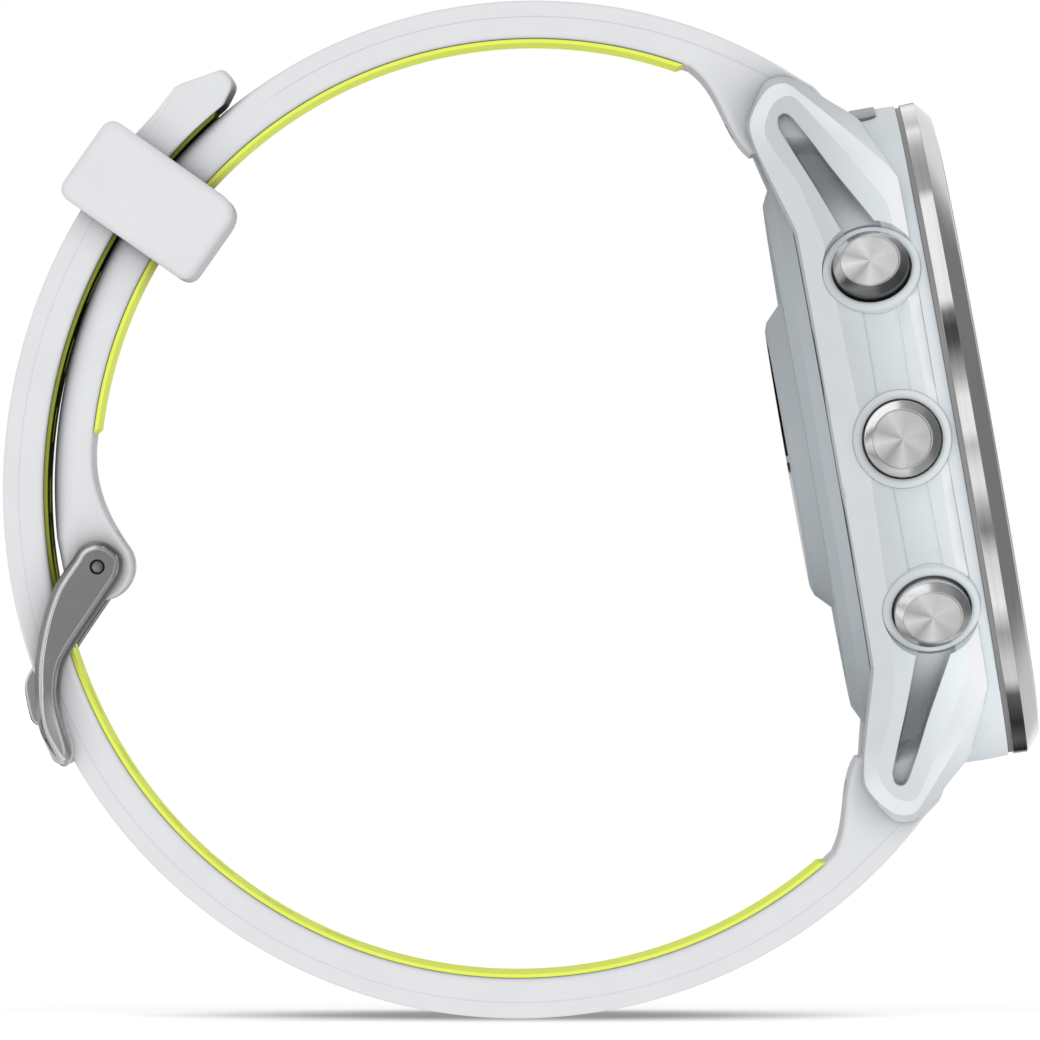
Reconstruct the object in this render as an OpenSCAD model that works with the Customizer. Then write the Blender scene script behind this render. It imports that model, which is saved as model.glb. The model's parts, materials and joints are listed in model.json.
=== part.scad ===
// Round GPS running watch with its silicone strap buckled into a loop.
// Frame: the origin is the centre of the wrist opening, +X points towards the display,
// +Y towards the 3 o'clock side and +Z towards the 12 o'clock half of the strap.
// Inside the case, pieces are drawn in the case's own frame: x to 3 o'clock, y to
// 12 o'clock and z out of the display, with z = 0 on the flat of the back cover.

/* [Case] */
// Diameter of the case and bezel
case_d = 47; // [46.8:0.1:47.2]
// Thickness from the flat of the back cover to the lens
case_h = 13; // [13:0.1:13.4]
// Height of the optical sensor's hump above the back cover
hump_h = 1.4; // [1.2:0.1:1.5]
// Tilt of the display's normal above +X, in degrees
case_tilt = 10; // [10:0.1:10.4]
// Width of the strap between the lugs
strap_w = 22; // [21.8:0.1:22]
// Thickness of each lug at its tip
lug_t = 2.5; // [2.3:0.1:2.6]

/* [Buttons] */
// Diameter of a button's cap
cap_d = 5.4; // [5.2:0.1:5.4]
// Diameter of the collar round a button
collar_d = 7; // [6.8:0.1:7.2]
// How far a cap stands out of its collar
cap_out = 1.04; // [0.9:0.02:1.1]
// Diameter of a button's stem
stem_d = 2.2; // [2:0.1:2.2]
// Spacing of the buttons round the case, in degrees
button_step = 31.7; // [30:0.1:32.5]

/* [Strap] */
// Thickness of the strap with its liner
strap_t = 3.15; // [3.1:0.01:3.15]
// Thickness of the coloured liner
liner_t = 0.3; // [0.25:0.01:0.3]
// Width of the coloured liner
liner_w = 21.2; // [20:0.1:21.2]
// Pitch of the holes along the strap, in degrees of the loop
hole_step = 8.6; // [8.4:0.1:9]

/* [Buckle] */
// Thickness of each arm of the buckle
arm_t = 1.6; // [1.4:0.1:1.6]
// Diameter of the buckle's pin inside the strap
pin_d = 1.5; // [1.4:0.05:1.5]
// Width of the tongue
tongue_w = 2.6; // [2.4:0.1:2.6]
// Length of the keeper loop along the strap
keeper_l = 6.6; // [6.2:0.1:6.6]

/* [Hidden] */
$fn = 72;

// Colours
polymer_white = [0.86, 0.87, 0.9];
polymer_grey = [0.68, 0.69, 0.74];
steel = [0.7, 0.71, 0.73];
silicone_white = [0.9, 0.9, 0.91];
liner_yellow = [0.86, 0.92, 0.22];
black_glass = [0.03, 0.03, 0.04];
board_green = [0.05, 0.3, 0.2];
gold = [0.85, 0.68, 0.3];
black_rubber = [0.08, 0.08, 0.09];

// Where the case stands in the loop: the centre of the back cover's flat
back_x = 20.43;
back_z = 3.85;

// Levels of the case, out of the display
case_r = case_d/2;
seam_z = 10.42;             // top of the case body, under the bezel's gasket
gasket_top = 10.77;
lens_z = case_h;
cover_h = 1.67;             // thickness of the back cover
cover_r = 20.6;
cavity_r = 20.2;
core_r = 22.2;              // the case body's radius behind the side rails
button_z = 6.55;
collar_face = case_r - 0.2; // distance of a collar's face from the case's axis
collar_floor = 21.75;
cap_bore = cap_d/2 + 0.15;
slip = 0.05;                // radial clearance of every running fit
screw_ring = 17;            // the back screws: their circle, shank and head
screw_r = 0.58;
head_r = 1.1;
back_gasket_r = 18.95;
contact_y = -14.5;          // the charging contacts' row
contact_step = 1.5;
contact_r = 0.48;

// Lugs
lug_y = 23.8;               // the lug bar's axis
lug_z = 2.6;
lug_r = 2.95;
gap_x = strap_w/2 + 0.1;    // half the gap between a pair of lugs
lug_x = gap_x + lug_t;
bar_r = 0.75;
plunger_r = 0.42;

// Buttons: angle round the case of each, from 3 o'clock
light_a = 180 - button_step;
up_a = 180;
down_a = 180 + button_step;
start_a = button_step;
back_a = -button_step;

// Strap arcs, in the loop's plane: centres (x, z) and radii
short_out_c = [1.07, 1.52];
short_out_r = 34.54;
short_in_c = [1.0, 1.99];
short_in_r = 31.08;
long_c = [-0.17, 0.17];
long_r = 36.17;
tail_c = [2.04, 1.36];
tail_r = 38.64;
tail_angle = 128.4;         // where the tail starts to taper
hub_gap = 0.1;
tongue_hole = 195.4;        // the hole in use; each hole's half width, and half length in degrees
hole_w = 1.6;
hole_half = 1.9;
liner_play = 0.015;         // the bond between a liner and its strap

// Buckle
pin = [-29.9, -4.03];
bulge_r = 2.43;
arm_y = strap_w/2 + 0.3;
pin_end_r = 0.49;

// Keeper
keeper_c = [-26.25, 21.9];
keeper_a = 145;
keeper_in = 5.7;            // from the keeper's centre to its inner and outer faces
keeper_out = 5.7;
keeper_room = [-2.95, 4.0]; // the opening across both layers of strap
keeper_wall = 1.9;

// ---- helpers ----

// A point of the loop's plane from the case's frame
function case_pt(y, z) = [back_x - sin(case_tilt)*y + cos(case_tilt)*z,
                          back_z + cos(case_tilt)*y + sin(case_tilt)*z];
// A point of the loop's plane at a distance and an angle from the origin
function spot(r, a) = r*[cos(a), sin(a)];
// The distance at which a ray from the origin at angle a leaves a circle
function ray(c, r, a) = let (d = [cos(a), sin(a)], s = c[0]*d[1] - c[1]*d[0])
    c*d + sqrt(r*r - s*s);
function ease(t) = let (u = min(1, max(0, t))) u*u*(3 - 2*u);
function arc(c, r, a0, a1, n) = [for (i = [0:n]) c + spot(r, a0 + (a1 - a0)*i/n)];
function bezier(p, n) = [for (i = [0:n]) let (t = i/n, s = 1 - t)
    s*s*s*p[0] + 3*s*s*t*p[1] + 3*s*t*t*p[2] + t*t*t*p[3]];

module in_case() {
    multmatrix([[0, -sin(case_tilt), cos(case_tilt), back_x],
                [1, 0, 0, 0],
                [0, cos(case_tilt), sin(case_tilt), back_z],
                [0, 0, 0, 1]]) children();
}

// Extrude an outline of the loop's plane over y0 to y1
module along_y(y0, y1) {
    translate([0, y1, 0]) rotate([90, 0, 0]) linear_extrude(y1 - y0) children();
}

// Extrude a side outline (y, z) of the case over x0 to x1
module across(x0, x1) {
    multmatrix([[0, 0, 1, x0], [1, 0, 0, 0], [0, 1, 0, 0], [0, 0, 0, 1]])
        linear_extrude(x1 - x0) children();
}

// Stand a shape on the radius at angle a, its z measured from the case's axis
module on_radius(a, z = button_z) {
    translate([0, 0, z]) rotate([0, 0, a]) rotate([0, 90, 0]) children();
}

module ring(r_in, r_out, z0, z1) {
    translate([0, 0, z0]) difference() {
        cylinder(r = r_out, h = z1 - z0);
        translate([0, 0, -1]) cylinder(r = r_in, h = z1 - z0 + 2);
    }
}

module disc(r, z0, z1) {
    translate([0, 0, z0]) cylinder(r = r, h = z1 - z0);
}

module slab(x0, x1, y0, y1, z0, z1) {
    translate([x0, y0, z0]) cube([x1 - x0, y1 - y0, z1 - z0]);
}

// ---- case, lugs and back ----

// Plan of the case with its lugs: the case's round sides and the tangents to the lug tips
module plan(r, x) {
    y = lug_y + lug_r + 1;
    t = atan2(y, x) - acos(r/norm([x, y]));
    polygon(concat(arc([0, 0], r, -t, t, 14), [[x, y], [-x, y]],
                   arc([0, 0], r, 180 - t, 180 + t, 14), [[-x, -y], [x, -y]]));
}

// Half of a rail's side outline, from its middle at the back to its middle in front
function rail_half() = concat(
    [[15.6, cover_h], [17, 1.08], [19.8, 0.51], [21.3, 0.1]],
    arc([lug_y, lug_z], lug_r, -93, 15, 16),
    [[24.5, 5.73], [23.4, 7], [21.6, 8.2], [19.2, 9.2], [18.2, 9.5]]);

module rail_outline() {
    half = rail_half();
    polygon(concat(half, [for (i = [len(half) - 1:-1:0]) [-half[i][0], half[i][1]]]));
}

// The recess along a rail: a channel between the buttons that tapers into each lug
module rail_recess() {
    half = [[0, 5.2], [14.9, 4.9], [18.9, 3.5], [23.4, 1.9], [24, 2.5], [23.8, 2.9],
            [19.7, 5.1], [15.3, 7.5], [0, 7.75]];
    polygon(half);
    mirror([1, 0]) polygon(half);
}

// The room of one rail outside the case body's core, on the 3 o'clock side
module rail_room() {
    difference() {
        across(gap_x, case_r + 1) rail_outline();
        rotate_extrude() polygon([[0, -3], [cover_r + 0.05, -3], [cover_r + 0.05, cover_h],
                                  [core_r, 4.6], [core_r, 12], [0, 12]]);
    }
}

// One rail before its bores
module rail_blank() {
    intersection() {
        rail_room();
        translate([0, 0, -2]) linear_extrude(14) plan(case_r, lug_x);
    }
}

// The hollows of one button: its stem's bore, and the pocket for its collar
module button_hollow(a) {
    on_radius(a) {
        translate([0, 0, 18]) cylinder(r = stem_d/2 + slip, h = 8);
        translate([0, 0, collar_floor]) cylinder(r = collar_d/2, h = 4);
    }
}

module side_rail(angles) {
    difference() {
        rail_blank();
        difference() {
            across(gap_x, case_r + 1) rail_recess();
            translate([0, 0, -2]) linear_extrude(14) plan(case_r - 0.5, lug_x - 0.7);
        }
        for (a = angles) button_hollow(a);
        for (s = [-1, 1]) translate([gap_x - 1, s*lug_y, lug_z]) rotate([0, 90, 0])
            cylinder(r = plunger_r + slip, h = 2.6);
    }
}

module side_rail_right() {
    color(polymer_white) in_case() side_rail([start_a, back_a]);
}

module side_rail_left() {
    color(polymer_white) in_case() mirror([1, 0, 0]) side_rail([-button_step, 0, button_step]);
}

screw_pos = [for (a = [35, 145, 215, 325]) spot(screw_ring, a)];

// A boss for one back screw, joined to the case's wall
module screw_boss(p) {
    intersection() {
        union() {
            translate([p[0], p[1], cover_h]) cylinder(r = 1.9, h = 2.6);
            translate([1.12*p[0], 1.12*p[1], cover_h]) cylinder(r = 1.5, h = 2.6);
        }
        disc(cavity_r + 0.1, 0, 8);
    }
}

module case_body() {
    color(polymer_white) in_case() difference() {
        union() {
            difference() {
                rotate_extrude() polygon([[cavity_r, cover_h], [cover_r, cover_h],
                    [22.4, 3.4], [23.3, 5.2], [case_r - 0.04, 7.2], [case_r, 8.7],
                    [case_r - 0.04, seam_z], [cavity_r, seam_z]]);
                rail_room();
                mirror([1, 0, 0]) rail_room();
                for (s = [-1, 1]) translate([-gap_x, s*lug_y, lug_z]) rotate([0, 90, 0])
                    cylinder(r = lug_r + hub_gap, h = 2*gap_x);
            }
            for (p = screw_pos) screw_boss(p);
        }
        for (a = [light_a, up_a, down_a, start_a, back_a]) button_hollow(a);
        for (p = screw_pos) translate([p[0], p[1], 0]) cylinder(r = screw_r + 0.02, h = 8);
        back_gasket_ring(0.02);
        torch_pocket(0);
    }
}

// The torch window's solid, with play all round
module torch_pocket(play) {
    intersection() {
        ring(22.2 + play, case_r + 0.2, 7.2 + play, 8.95 - play);
        slab(-7 + play, 7 - play, 10, 30, 0, 20);
    }
}

module torch_window() {
    color([0.45, 0.44, 0.52]) in_case() torch_pocket(0.02);
}

module torch_led() {
    color(gold) in_case() slab(-2.4, 2.4, 19.2, 20, 7.3, 8.4);
}

module back_cover() {
    color(polymer_grey) in_case() difference() {
        rotate_extrude() polygon([[9.8, 0], [18.1, 0], [19.65, 0.75], [cover_r, cover_h],
            [18.3, cover_h], [18.3, 1.1], [9.8, 1.1]]);
        for (p = screw_pos) translate([p[0], p[1], -1]) {
            cylinder(r = screw_r + 0.12, h = 4);
            cylinder(r = head_r + 0.05, h = 1.55);
        }
        slab(-3.4, 3.4, contact_y - 1.4, contact_y + 1.4, -1, 0.55);
        for (i = [-1.5:1:1.5]) translate([i*contact_step, contact_y, -1])
            cylinder(r = contact_r + 0.02, h = 4);
    }
}

// The gasket's ring, with play all round
module back_gasket_ring(play) {
    ring(back_gasket_r - play, back_gasket_r + 0.4 + play, cover_h, cover_h + 0.4 + play);
}

module back_gasket() {
    color(black_rubber) in_case() back_gasket_ring(0);
}

module back_screws() {
    color(steel) in_case() for (p = screw_pos) translate([p[0], p[1], 0]) difference() {
        union() {
            disc(head_r, 0.05, 0.55);
            disc(screw_r, 0.5, 3.9);
        }
        translate([0, 0, -0.5]) cylinder(r = 0.5, h = 0.9, $fn = 6);
    }
}

module charging_contacts() {
    color(gold) in_case() for (i = [-1.5:1:1.5]) translate([i*contact_step, contact_y, 0])
        disc(contact_r, 0.3, 1.5);
}

// ---- optical sensor ----

glass_r = 8.65;
rib = 0.45;

// Two half-round windows, either side of the rib
module half_rounds(r, z0, z1) {
    difference() {
        disc(r, z0, z1);
        slab(-r - 1, r + 1, -rib/2, rib/2, z0 - 1, z1 + 1);
    }
}

module sensor_housing() {
    color(polymer_grey) in_case() difference() {
        rotate_extrude() polygon([[0, -hump_h], [9.3, -hump_h], [9.85, -hump_h + 0.2],
            [11.08, 0], [9.75, 0], [9.75, 1.3], [0, 1.3]]);
        half_rounds(glass_r, -hump_h - 1, -hump_h + 0.7);
        for (s = [-1, 1]) slab(-5.6, 5.6, s*3.9 - 2.9, s*3.9 + 2.9, -hump_h, 2);
    }
}

module sensor_glass() {
    color(black_glass) in_case() half_rounds(glass_r - 0.02, -hump_h, -hump_h + 0.7);
}

module sensor_board() {
    color(board_green) in_case() disc(9.2, 1.3, 1.9);
}

module sensor_leds() {
    color([0.5, 0.95, 0.5]) in_case() for (s = [-1, 1]) for (x = [-4.2, 4.2])
        slab(x - 0.7, x + 0.7, s*3.9 - 0.8, s*3.9 + 0.8, 0.6, 1.3);
}

module sensor_photodiodes() {
    color([0.2, 0.2, 0.25]) in_case() for (s = [-1, 1])
        slab(-1.8, 1.8, s*3.9 - 1.7, s*3.9 + 1.7, 0.7, 1.3);
}

// ---- bezel and display ----

module bezel_gasket() {
    color(black_rubber) in_case() ring(cavity_r, case_r - 0.2, seam_z, gasket_top);
}

module bezel() {
    color(steel) in_case() rotate_extrude() polygon([[cavity_r, gasket_top],
        [case_r - 0.04, gasket_top], [case_r - 0.04, 11.79], [23.25, 12.1], [23.1, 12.24],
        [22, 12.83], [20.6, lens_z], [19, lens_z], [19, 12], [18, 12], [18, 11.6],
        [cavity_r, 11.6]]);
}

module display_glass() {
    color(black_glass) in_case() disc(18.95, 12.02, lens_z);
}

module display_panel() {
    color([0.1, 0.1, 0.12]) in_case() disc(17.9, 11.2, 12);
}

module display_carrier() {
    color([0.3, 0.3, 0.33]) in_case() difference() {
        disc(cavity_r - 0.15, 10.5, 11.15);
        slab(-9, 9, -9, 9, 10, 12);
    }
}

// ---- inside the case ----

module chassis() {
    color([0.3, 0.3, 0.33]) in_case() difference() {
        disc(17, 7, 8.5);
        slab(-9, 9, -12, 12, 7.8, 9);
    }
}

module battery() {
    color([0.75, 0.76, 0.8]) in_case() slab(-10, 10, -14.4, 14.4, 2.4, 6.8);
}

module main_board() {
    color(board_green) in_case() disc(19, 8.6, 9.3);
}

module shield_cans() {
    color(steel) in_case() {
        slab(-12, -0.5, -11, 9, 9.3, 10.3);
        slab(0.5, 12, -6, 11, 9.3, 10.3);
    }
}

module gnss_antenna() {
    color(gold) in_case() difference() {
        ring(17.2, 18.6, 9.3, 10.35);
        slab(-3, 3, -20, -10, 9, 11);
    }
}

// Distance of the speaker and the vibration motor from the case's axis
side_x = 15.2;

module speaker() {
    color([0.15, 0.15, 0.17]) in_case() translate([side_x, 0, 0]) disc(3.8, 2.2, 4.9);
}

module motor_can() {
    color(steel) in_case() translate([-side_x, 0, 0]) {
        difference() {
            disc(3.9, 2.2, 4.9);
            disc(3.6, 2.5, 4.65);
        }
        disc(0.4, 2.4, 4.75);
    }
}

module motor_rotor() {
    color(gold) in_case() translate([-side_x, 0, 0]) difference() {
        union() {
            disc(1.1, 2.7, 4.45);
            intersection() {
                disc(3.3, 2.9, 4.2);
                slab(-4, 4, 0, 4, 2, 5);
            }
        }
        disc(0.4 + slip, 2, 5);
    }
}

// A flexible strip with one switch behind each button
module switch_strip(angles, sweep) {
    difference() {
        ring(17.3, 17.55, 5.3, 7.8);
        for (s = [-1, 1]) rotate([0, 0, s*(90 + sweep)]) slab(0, 30, -30*s, 0, 0, 20);
        for (s = [-1, 1]) rotate([0, 0, s*sweep]) slab(-30, 30, min(0, 30*s), max(0, 30*s), 0, 20);
    }
    for (a = angles) on_radius(a) translate([0, 0, 17.5]) cylinder(r = 1.1, h = 0.75);
}

module switch_strip_right() {
    color([0.8, 0.5, 0.15]) in_case() switch_strip([start_a, back_a], 40);
}

module switch_strip_left() {
    color([0.8, 0.5, 0.15]) in_case() mirror([1, 0, 0])
        switch_strip([-button_step, 0, button_step], 40);
}

// ---- buttons ----

stem_r = stem_d/2;
clip_z = 19.35;
clip_r = 1.6;
seal_z = 20.95;
seal_r = 0.27;
groove_r = 0.58;

module button(a) {
    face = collar_face + cap_out;
    color(steel) in_case() on_radius(a) rotate_extrude() polygon([[0, 18.9], [stem_r, 18.9],
        [stem_r, clip_z - 0.02], [0.7, clip_z - 0.02], [0.7, clip_z + 0.32],
        [stem_r, clip_z + 0.32], [stem_r, seal_z - 0.35], [groove_r, seal_z - 0.35],
        [groove_r, seal_z + 0.35], [stem_r, seal_z + 0.35], [stem_r, 22.3], [cap_d/2, 22.3],
        [cap_d/2, face - 0.35], [2.35, face], [2.1, face], [2.02, face - 0.08],
        [0, face - 0.08]]);
}

module button_clip(a) {
    color(steel) in_case() on_radius(a) translate([0, 0, clip_z]) difference() {
        cylinder(r = clip_r, h = 0.3);
        translate([0, 0, -1]) cylinder(r = 0.72, h = 3);
        slab(0, 3, -0.6, 0.6, -1, 2);
    }
}

module button_seal(a) {
    color(black_rubber) in_case() on_radius(a) translate([0, 0, seal_z]) rotate_extrude()
        translate([groove_r + 0.01 + seal_r, 0]) circle(r = seal_r, $fn = 24);
}

module button_collars() {
    color(polymer_white) in_case() for (a = [light_a, up_a, down_a, start_a, back_a])
        on_radius(a) rotate_extrude() polygon([[cap_bore, collar_floor],
            [collar_d/2 - 0.01, collar_floor], [collar_d/2 - 0.01, collar_face - 0.2],
            [collar_d/2 - 0.2, collar_face], [cap_bore, collar_face]]);
}

// ---- strap ----

function short_out(a) = ray(short_out_c, short_out_r, a) - 0.5*ease((a - 130)/50);
function short_in(a) = ray(short_in_c, short_in_r, a);
function long_out(a) = let (t = ease((215 - a)/20))
    (1 - t)*ray(long_c, long_r, a) + t*ray(tail_c, tail_r, a);
function long_in(a) = long_out(a) - strap_t;

// From the strap's inner face round the lug bar to its outer face; s is 1 at 12 o'clock
function lug_end(s) = concat(
    bezier([case_pt(s*28.1, -3.1), case_pt(s*26.2, -1.6), case_pt(s*23.4, -1.8),
            case_pt(s*21.7, -0.3)], 10),
    [for (i = [0:14]) let (a = 228 - 178*i/14)
        case_pt(s*(lug_y + lug_r*cos(a)), lug_z + lug_r*sin(a))]);

module bar_bore(s) {
    p = case_pt(s*lug_y, lug_z);
    translate([p[0], strap_w, p[1]]) rotate([90, 0, 0]) cylinder(r = bar_r + slip, h = 2*strap_w);
}

module strap_short() {
    color(silicone_white) difference() {
        along_y(-strap_w/2, strap_w/2) polygon(concat(
            [for (i = [0:42]) let (a = 57.5 + 3*i) spot(short_out(a), a)],
            arc(pin, bulge_r, 188, 395, 24),
            [spot(30.3, 173)],
            [for (i = [0:34]) let (a = 171 - 3*i) spot(short_in(a) + liner_t, a)],
            lug_end(1)));
        bar_bore(1);
        translate([pin[0], 20, pin[1]]) rotate([90, 0, 0]) cylinder(r = pin_d/2, h = 40);
        along_y(-tongue_w/2 - 0.3, tongue_w/2 + 0.3) translate(pin)
            polygon([[-5, -6], [5, -6], [5, 2.6], [-5, 2.6]]);
        latch_slot(1);
    }
}

module strap_short_liner() {
    color(liner_yellow) along_y(-liner_w/2, liner_w/2) polygon(concat(
        [for (i = [0:50]) let (a = 69.8 + 2*i) spot(short_in(a) + liner_t - liner_play, a)],
        [for (i = [50:-1:0]) let (a = 69.8 + 2*i) spot(short_in(a), a)]));
}

// The tapered, rounded end of the tail
function tail_end() = bezier([spot(38.35, tail_angle), spot(37.7, 125.6), spot(37.5, 123.4),
                              spot(36.5, 123.4)], 8);

// A hole through the long strap, and the one in use, which leans with the tongue that passes through it
module hole_cut(a) {
    along_y(-hole_w, hole_w) polygon([spot(31, a - hole_half), spot(40, a - hole_half),
                                      spot(40, a + hole_half), spot(31, a + hole_half)]);
}

module tongue_slot() {
    along_y(-hole_w, hole_w) polygon([spot(31.3, 188.2), spot(33.3, 189.3), spot(36.6, 193.2),
        spot(38.3, 195.2), spot(38.3, 201.4), spot(36.4, 201), spot(34.4, 199), spot(31.5, 194.6)]);
}

module strap_holes() {
    tongue_slot();
    for (k = [-6, -5, -4, -3, -2, -1, 1, 2, 3, 4, 5, 6]) hole_cut(tongue_hole + k*hole_step);
}

module strap_long() {
    color(silicone_white) difference() {
        along_y(-strap_w/2, strap_w/2) polygon(concat(
            [for (i = [0:64]) let (a = 322.6 - 3*i) spot(long_out(a), a)],
            tail_end(),
            [spot(35.7, 124.2), spot(35.5, 126)],
            [for (i = [0:60]) let (a = 130 + 3*i) spot(long_in(a) + liner_t, a)],
            lug_end(-1)));
        bar_bore(-1);
        strap_holes();
        latch_slot(-1);
    }
}

module strap_long_liner() {
    color(liner_yellow) difference() {
        along_y(-liner_w/2, liner_w/2) polygon(concat(
            [for (i = [0:90]) let (a = 130 + 2*i) spot(long_in(a) + liner_t - liner_play, a)],
            [for (i = [90:-1:0]) let (a = 130 + 2*i) spot(long_in(a), a)]));
        strap_holes();
    }
}

// ---- lug bars and quick-release latches ----

// The slot in the strap and in the bar for the latch's knob; s is 1 at 12 o'clock
module latch_slot(s) {
    in_case() slab(3.9, 8.1, s*lug_y - 0.55, s*lug_y + 0.55, -6, lug_z - 0.2);
}

module lug_bar(s) {
    color(steel) in_case() difference() {
        translate([-gap_x, s*lug_y, lug_z]) rotate([0, 90, 0]) union() {
            cylinder(r = bar_r, h = 2*gap_x - 0.2);
            translate([0, 0, -1.2]) cylinder(r = plunger_r, h = 2);
        }
        translate([3, s*lug_y, lug_z]) rotate([0, 90, 0])
            cylinder(r = plunger_r + slip, h = 20);
        slab(3.9, 8.1, s*lug_y - 0.55, s*lug_y + 0.55, -6, lug_z);
    }
}

module lug_bar_top() { lug_bar(1); }
module lug_bar_bottom() { lug_bar(-1); }

module release_latch(s) {
    color(steel) in_case() {
        translate([5, s*lug_y, lug_z]) rotate([0, 90, 0])
            cylinder(r = plunger_r, h = gap_x + 1.2 - 5);
        slab(6, 7.4, s*lug_y - 0.4, s*lug_y + 0.4, -0.9, lug_z);
    }
}

module release_latch_top() { release_latch(1); }
module release_latch_bottom() { release_latch(-1); }

// ---- buckle and keeper ----

// An arm's outline, from the pin
function arm_outline() = concat(
    arc([0, 0], 1.83, 60, 160, 10),
    [[-2.3, -0.15], [-3.06, -1.43], [-3.7, -3.15], [-4.13, -4.96], [-4.4, -6.6],
     [-4.3, -10.66], [-4.0, -11.7], [-3.57, -12.6], [-2.95, -13.6], [-2.45, -14.15],
     [-1.87, -13.9], [-1.66, -13.2], [-1.72, -12.8], [-2.08, -11.4], [-2.4, -10.2],
     [-2.57, -9.2], [-2.57, -8.2], [-2.3, -6.8], [-1.66, -5.7], [0.92, -1.86],
     [1.68, -0.77], [1.87, 0.1]]);

module buckle_frame() {
    color(steel) {
        difference() {
            for (s = [0, 1]) mirror([0, s, 0]) along_y(arm_y, arm_y + arm_t)
                translate(pin) polygon(arm_outline());
            translate([pin[0], 20, pin[1]]) rotate([90, 0, 0])
                cylinder(r = pin_end_r + slip, h = 40);
        }
        along_y(-arm_y, arm_y) polygon([spot(36.5, 205.4), spot(37.4, 205.2),
            spot(37.45, 208.2), spot(37.2, 208.9), spot(36.6, 208.8)]);
    }
}

module buckle_pin() {
    color(steel) translate([pin[0], 0, pin[1]]) rotate([90, 0, 0]) union() {
        translate([0, 0, -strap_w/2]) cylinder(r = pin_d/2, h = strap_w);
        translate([0, 0, -arm_y - arm_t + 0.05]) cylinder(r = pin_end_r, h = 2*(arm_y + arm_t - 0.05));
    }
}

module buckle_tongue() {
    color(steel) difference() {
        along_y(-tongue_w/2, tongue_w/2) {
            translate(pin) circle(r = 1.5);
            polygon([spot(30.6, 185.6), spot(32, 188.6), spot(33.2, 192.2), spot(34.8, 195.6),
                spot(36.4, 197.8), spot(37.1, 199), spot(37.45, 200), spot(37.65, 201.5),
                spot(37.8, 203.4), spot(37.5, 204.1), spot(36.9, 203.6), spot(36.7, 202.2),
                spot(36.3, 200.9), spot(35.2, 199.6), spot(33.8, 197.5), spot(32.4, 195),
                spot(31.2, 192.2), spot(30.2, 190)]);
        }
        translate([pin[0], 20, pin[1]]) rotate([90, 0, 0]) cylinder(r = pin_d/2 + slip, h = 40);
    }
}

module keeper_loop() {
    half_l = keeper_l/2;
    room_y = strap_w/2 + 0.3;
    color(silicone_white) translate([keeper_c[0], 0, keeper_c[1]]) rotate([0, -keeper_a, 0])
        difference() {
            slab(-keeper_in, keeper_out, -room_y - keeper_wall, room_y + keeper_wall,
                 -half_l, half_l);
            slab(keeper_room[0], keeper_room[1], -room_y, room_y, -half_l - 1, half_l + 1);
        }
}

case_body();
side_rail_left();
side_rail_right();
back_cover();
back_gasket();
back_screws();
sensor_housing();
sensor_glass();
sensor_board();
sensor_leds();
sensor_photodiodes();
charging_contacts();
bezel();
bezel_gasket();
display_glass();
display_panel();
display_carrier();
chassis();
main_board();
shield_cans();
battery();
gnss_antenna();
speaker();
motor_can();
motor_rotor();
button_collars();
switch_strip_left();
switch_strip_right();
torch_window();
torch_led();
button(light_a);  // light_button
button(up_a);  // up_button
button(down_a);  // down_button
button(start_a);  // start_button
button(back_a);  // back_button
button_clip(light_a);  // light_clip
button_clip(up_a);  // up_clip
button_clip(down_a);  // down_clip
button_clip(start_a);  // start_clip
button_clip(back_a);  // back_clip
button_seal(light_a);  // light_seal
button_seal(up_a);  // up_seal
button_seal(down_a);  // down_seal
button_seal(start_a);  // start_seal
button_seal(back_a);  // back_seal
lug_bar_top();
lug_bar_bottom();
release_latch_top();
release_latch_bottom();
strap_short();
strap_short_liner();
strap_long();
strap_long_liner();
keeper_loop();
buckle_frame();
buckle_pin();
buckle_tongue();
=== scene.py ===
"""A GPS running watch closed on its strap, seen from its three-button side.

Lengths are millimetres until a piece is dressed, when its mesh becomes metres. The case's own frame has x
towards 3 o'clock, y towards 12 o'clock and z out of the display; CASE puts it in the loop of the strap.
"""
import json
from math import acos, atan2, cos, degrees, hypot, pi, radians, sin, sqrt, tan

import bmesh
import bpy
from mathutils import Matrix, Vector


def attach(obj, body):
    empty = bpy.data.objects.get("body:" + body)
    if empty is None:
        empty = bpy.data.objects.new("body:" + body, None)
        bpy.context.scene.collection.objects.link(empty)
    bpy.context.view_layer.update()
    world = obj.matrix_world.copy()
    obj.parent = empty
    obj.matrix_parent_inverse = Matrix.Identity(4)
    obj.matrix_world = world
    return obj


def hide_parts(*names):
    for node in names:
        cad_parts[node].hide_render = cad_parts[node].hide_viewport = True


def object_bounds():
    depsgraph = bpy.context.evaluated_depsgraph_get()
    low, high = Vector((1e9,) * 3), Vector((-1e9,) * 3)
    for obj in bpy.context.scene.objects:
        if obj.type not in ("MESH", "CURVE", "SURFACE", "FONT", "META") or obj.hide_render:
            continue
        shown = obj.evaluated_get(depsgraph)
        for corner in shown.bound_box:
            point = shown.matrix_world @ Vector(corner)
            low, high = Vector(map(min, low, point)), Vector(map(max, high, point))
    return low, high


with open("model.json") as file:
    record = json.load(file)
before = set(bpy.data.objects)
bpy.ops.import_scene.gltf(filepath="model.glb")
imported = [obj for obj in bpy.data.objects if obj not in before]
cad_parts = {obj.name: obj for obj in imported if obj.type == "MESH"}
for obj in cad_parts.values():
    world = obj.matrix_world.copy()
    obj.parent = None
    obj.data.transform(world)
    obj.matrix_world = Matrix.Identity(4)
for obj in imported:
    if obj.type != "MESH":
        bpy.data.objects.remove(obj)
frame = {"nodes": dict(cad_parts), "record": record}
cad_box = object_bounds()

MM = 0.001

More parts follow.
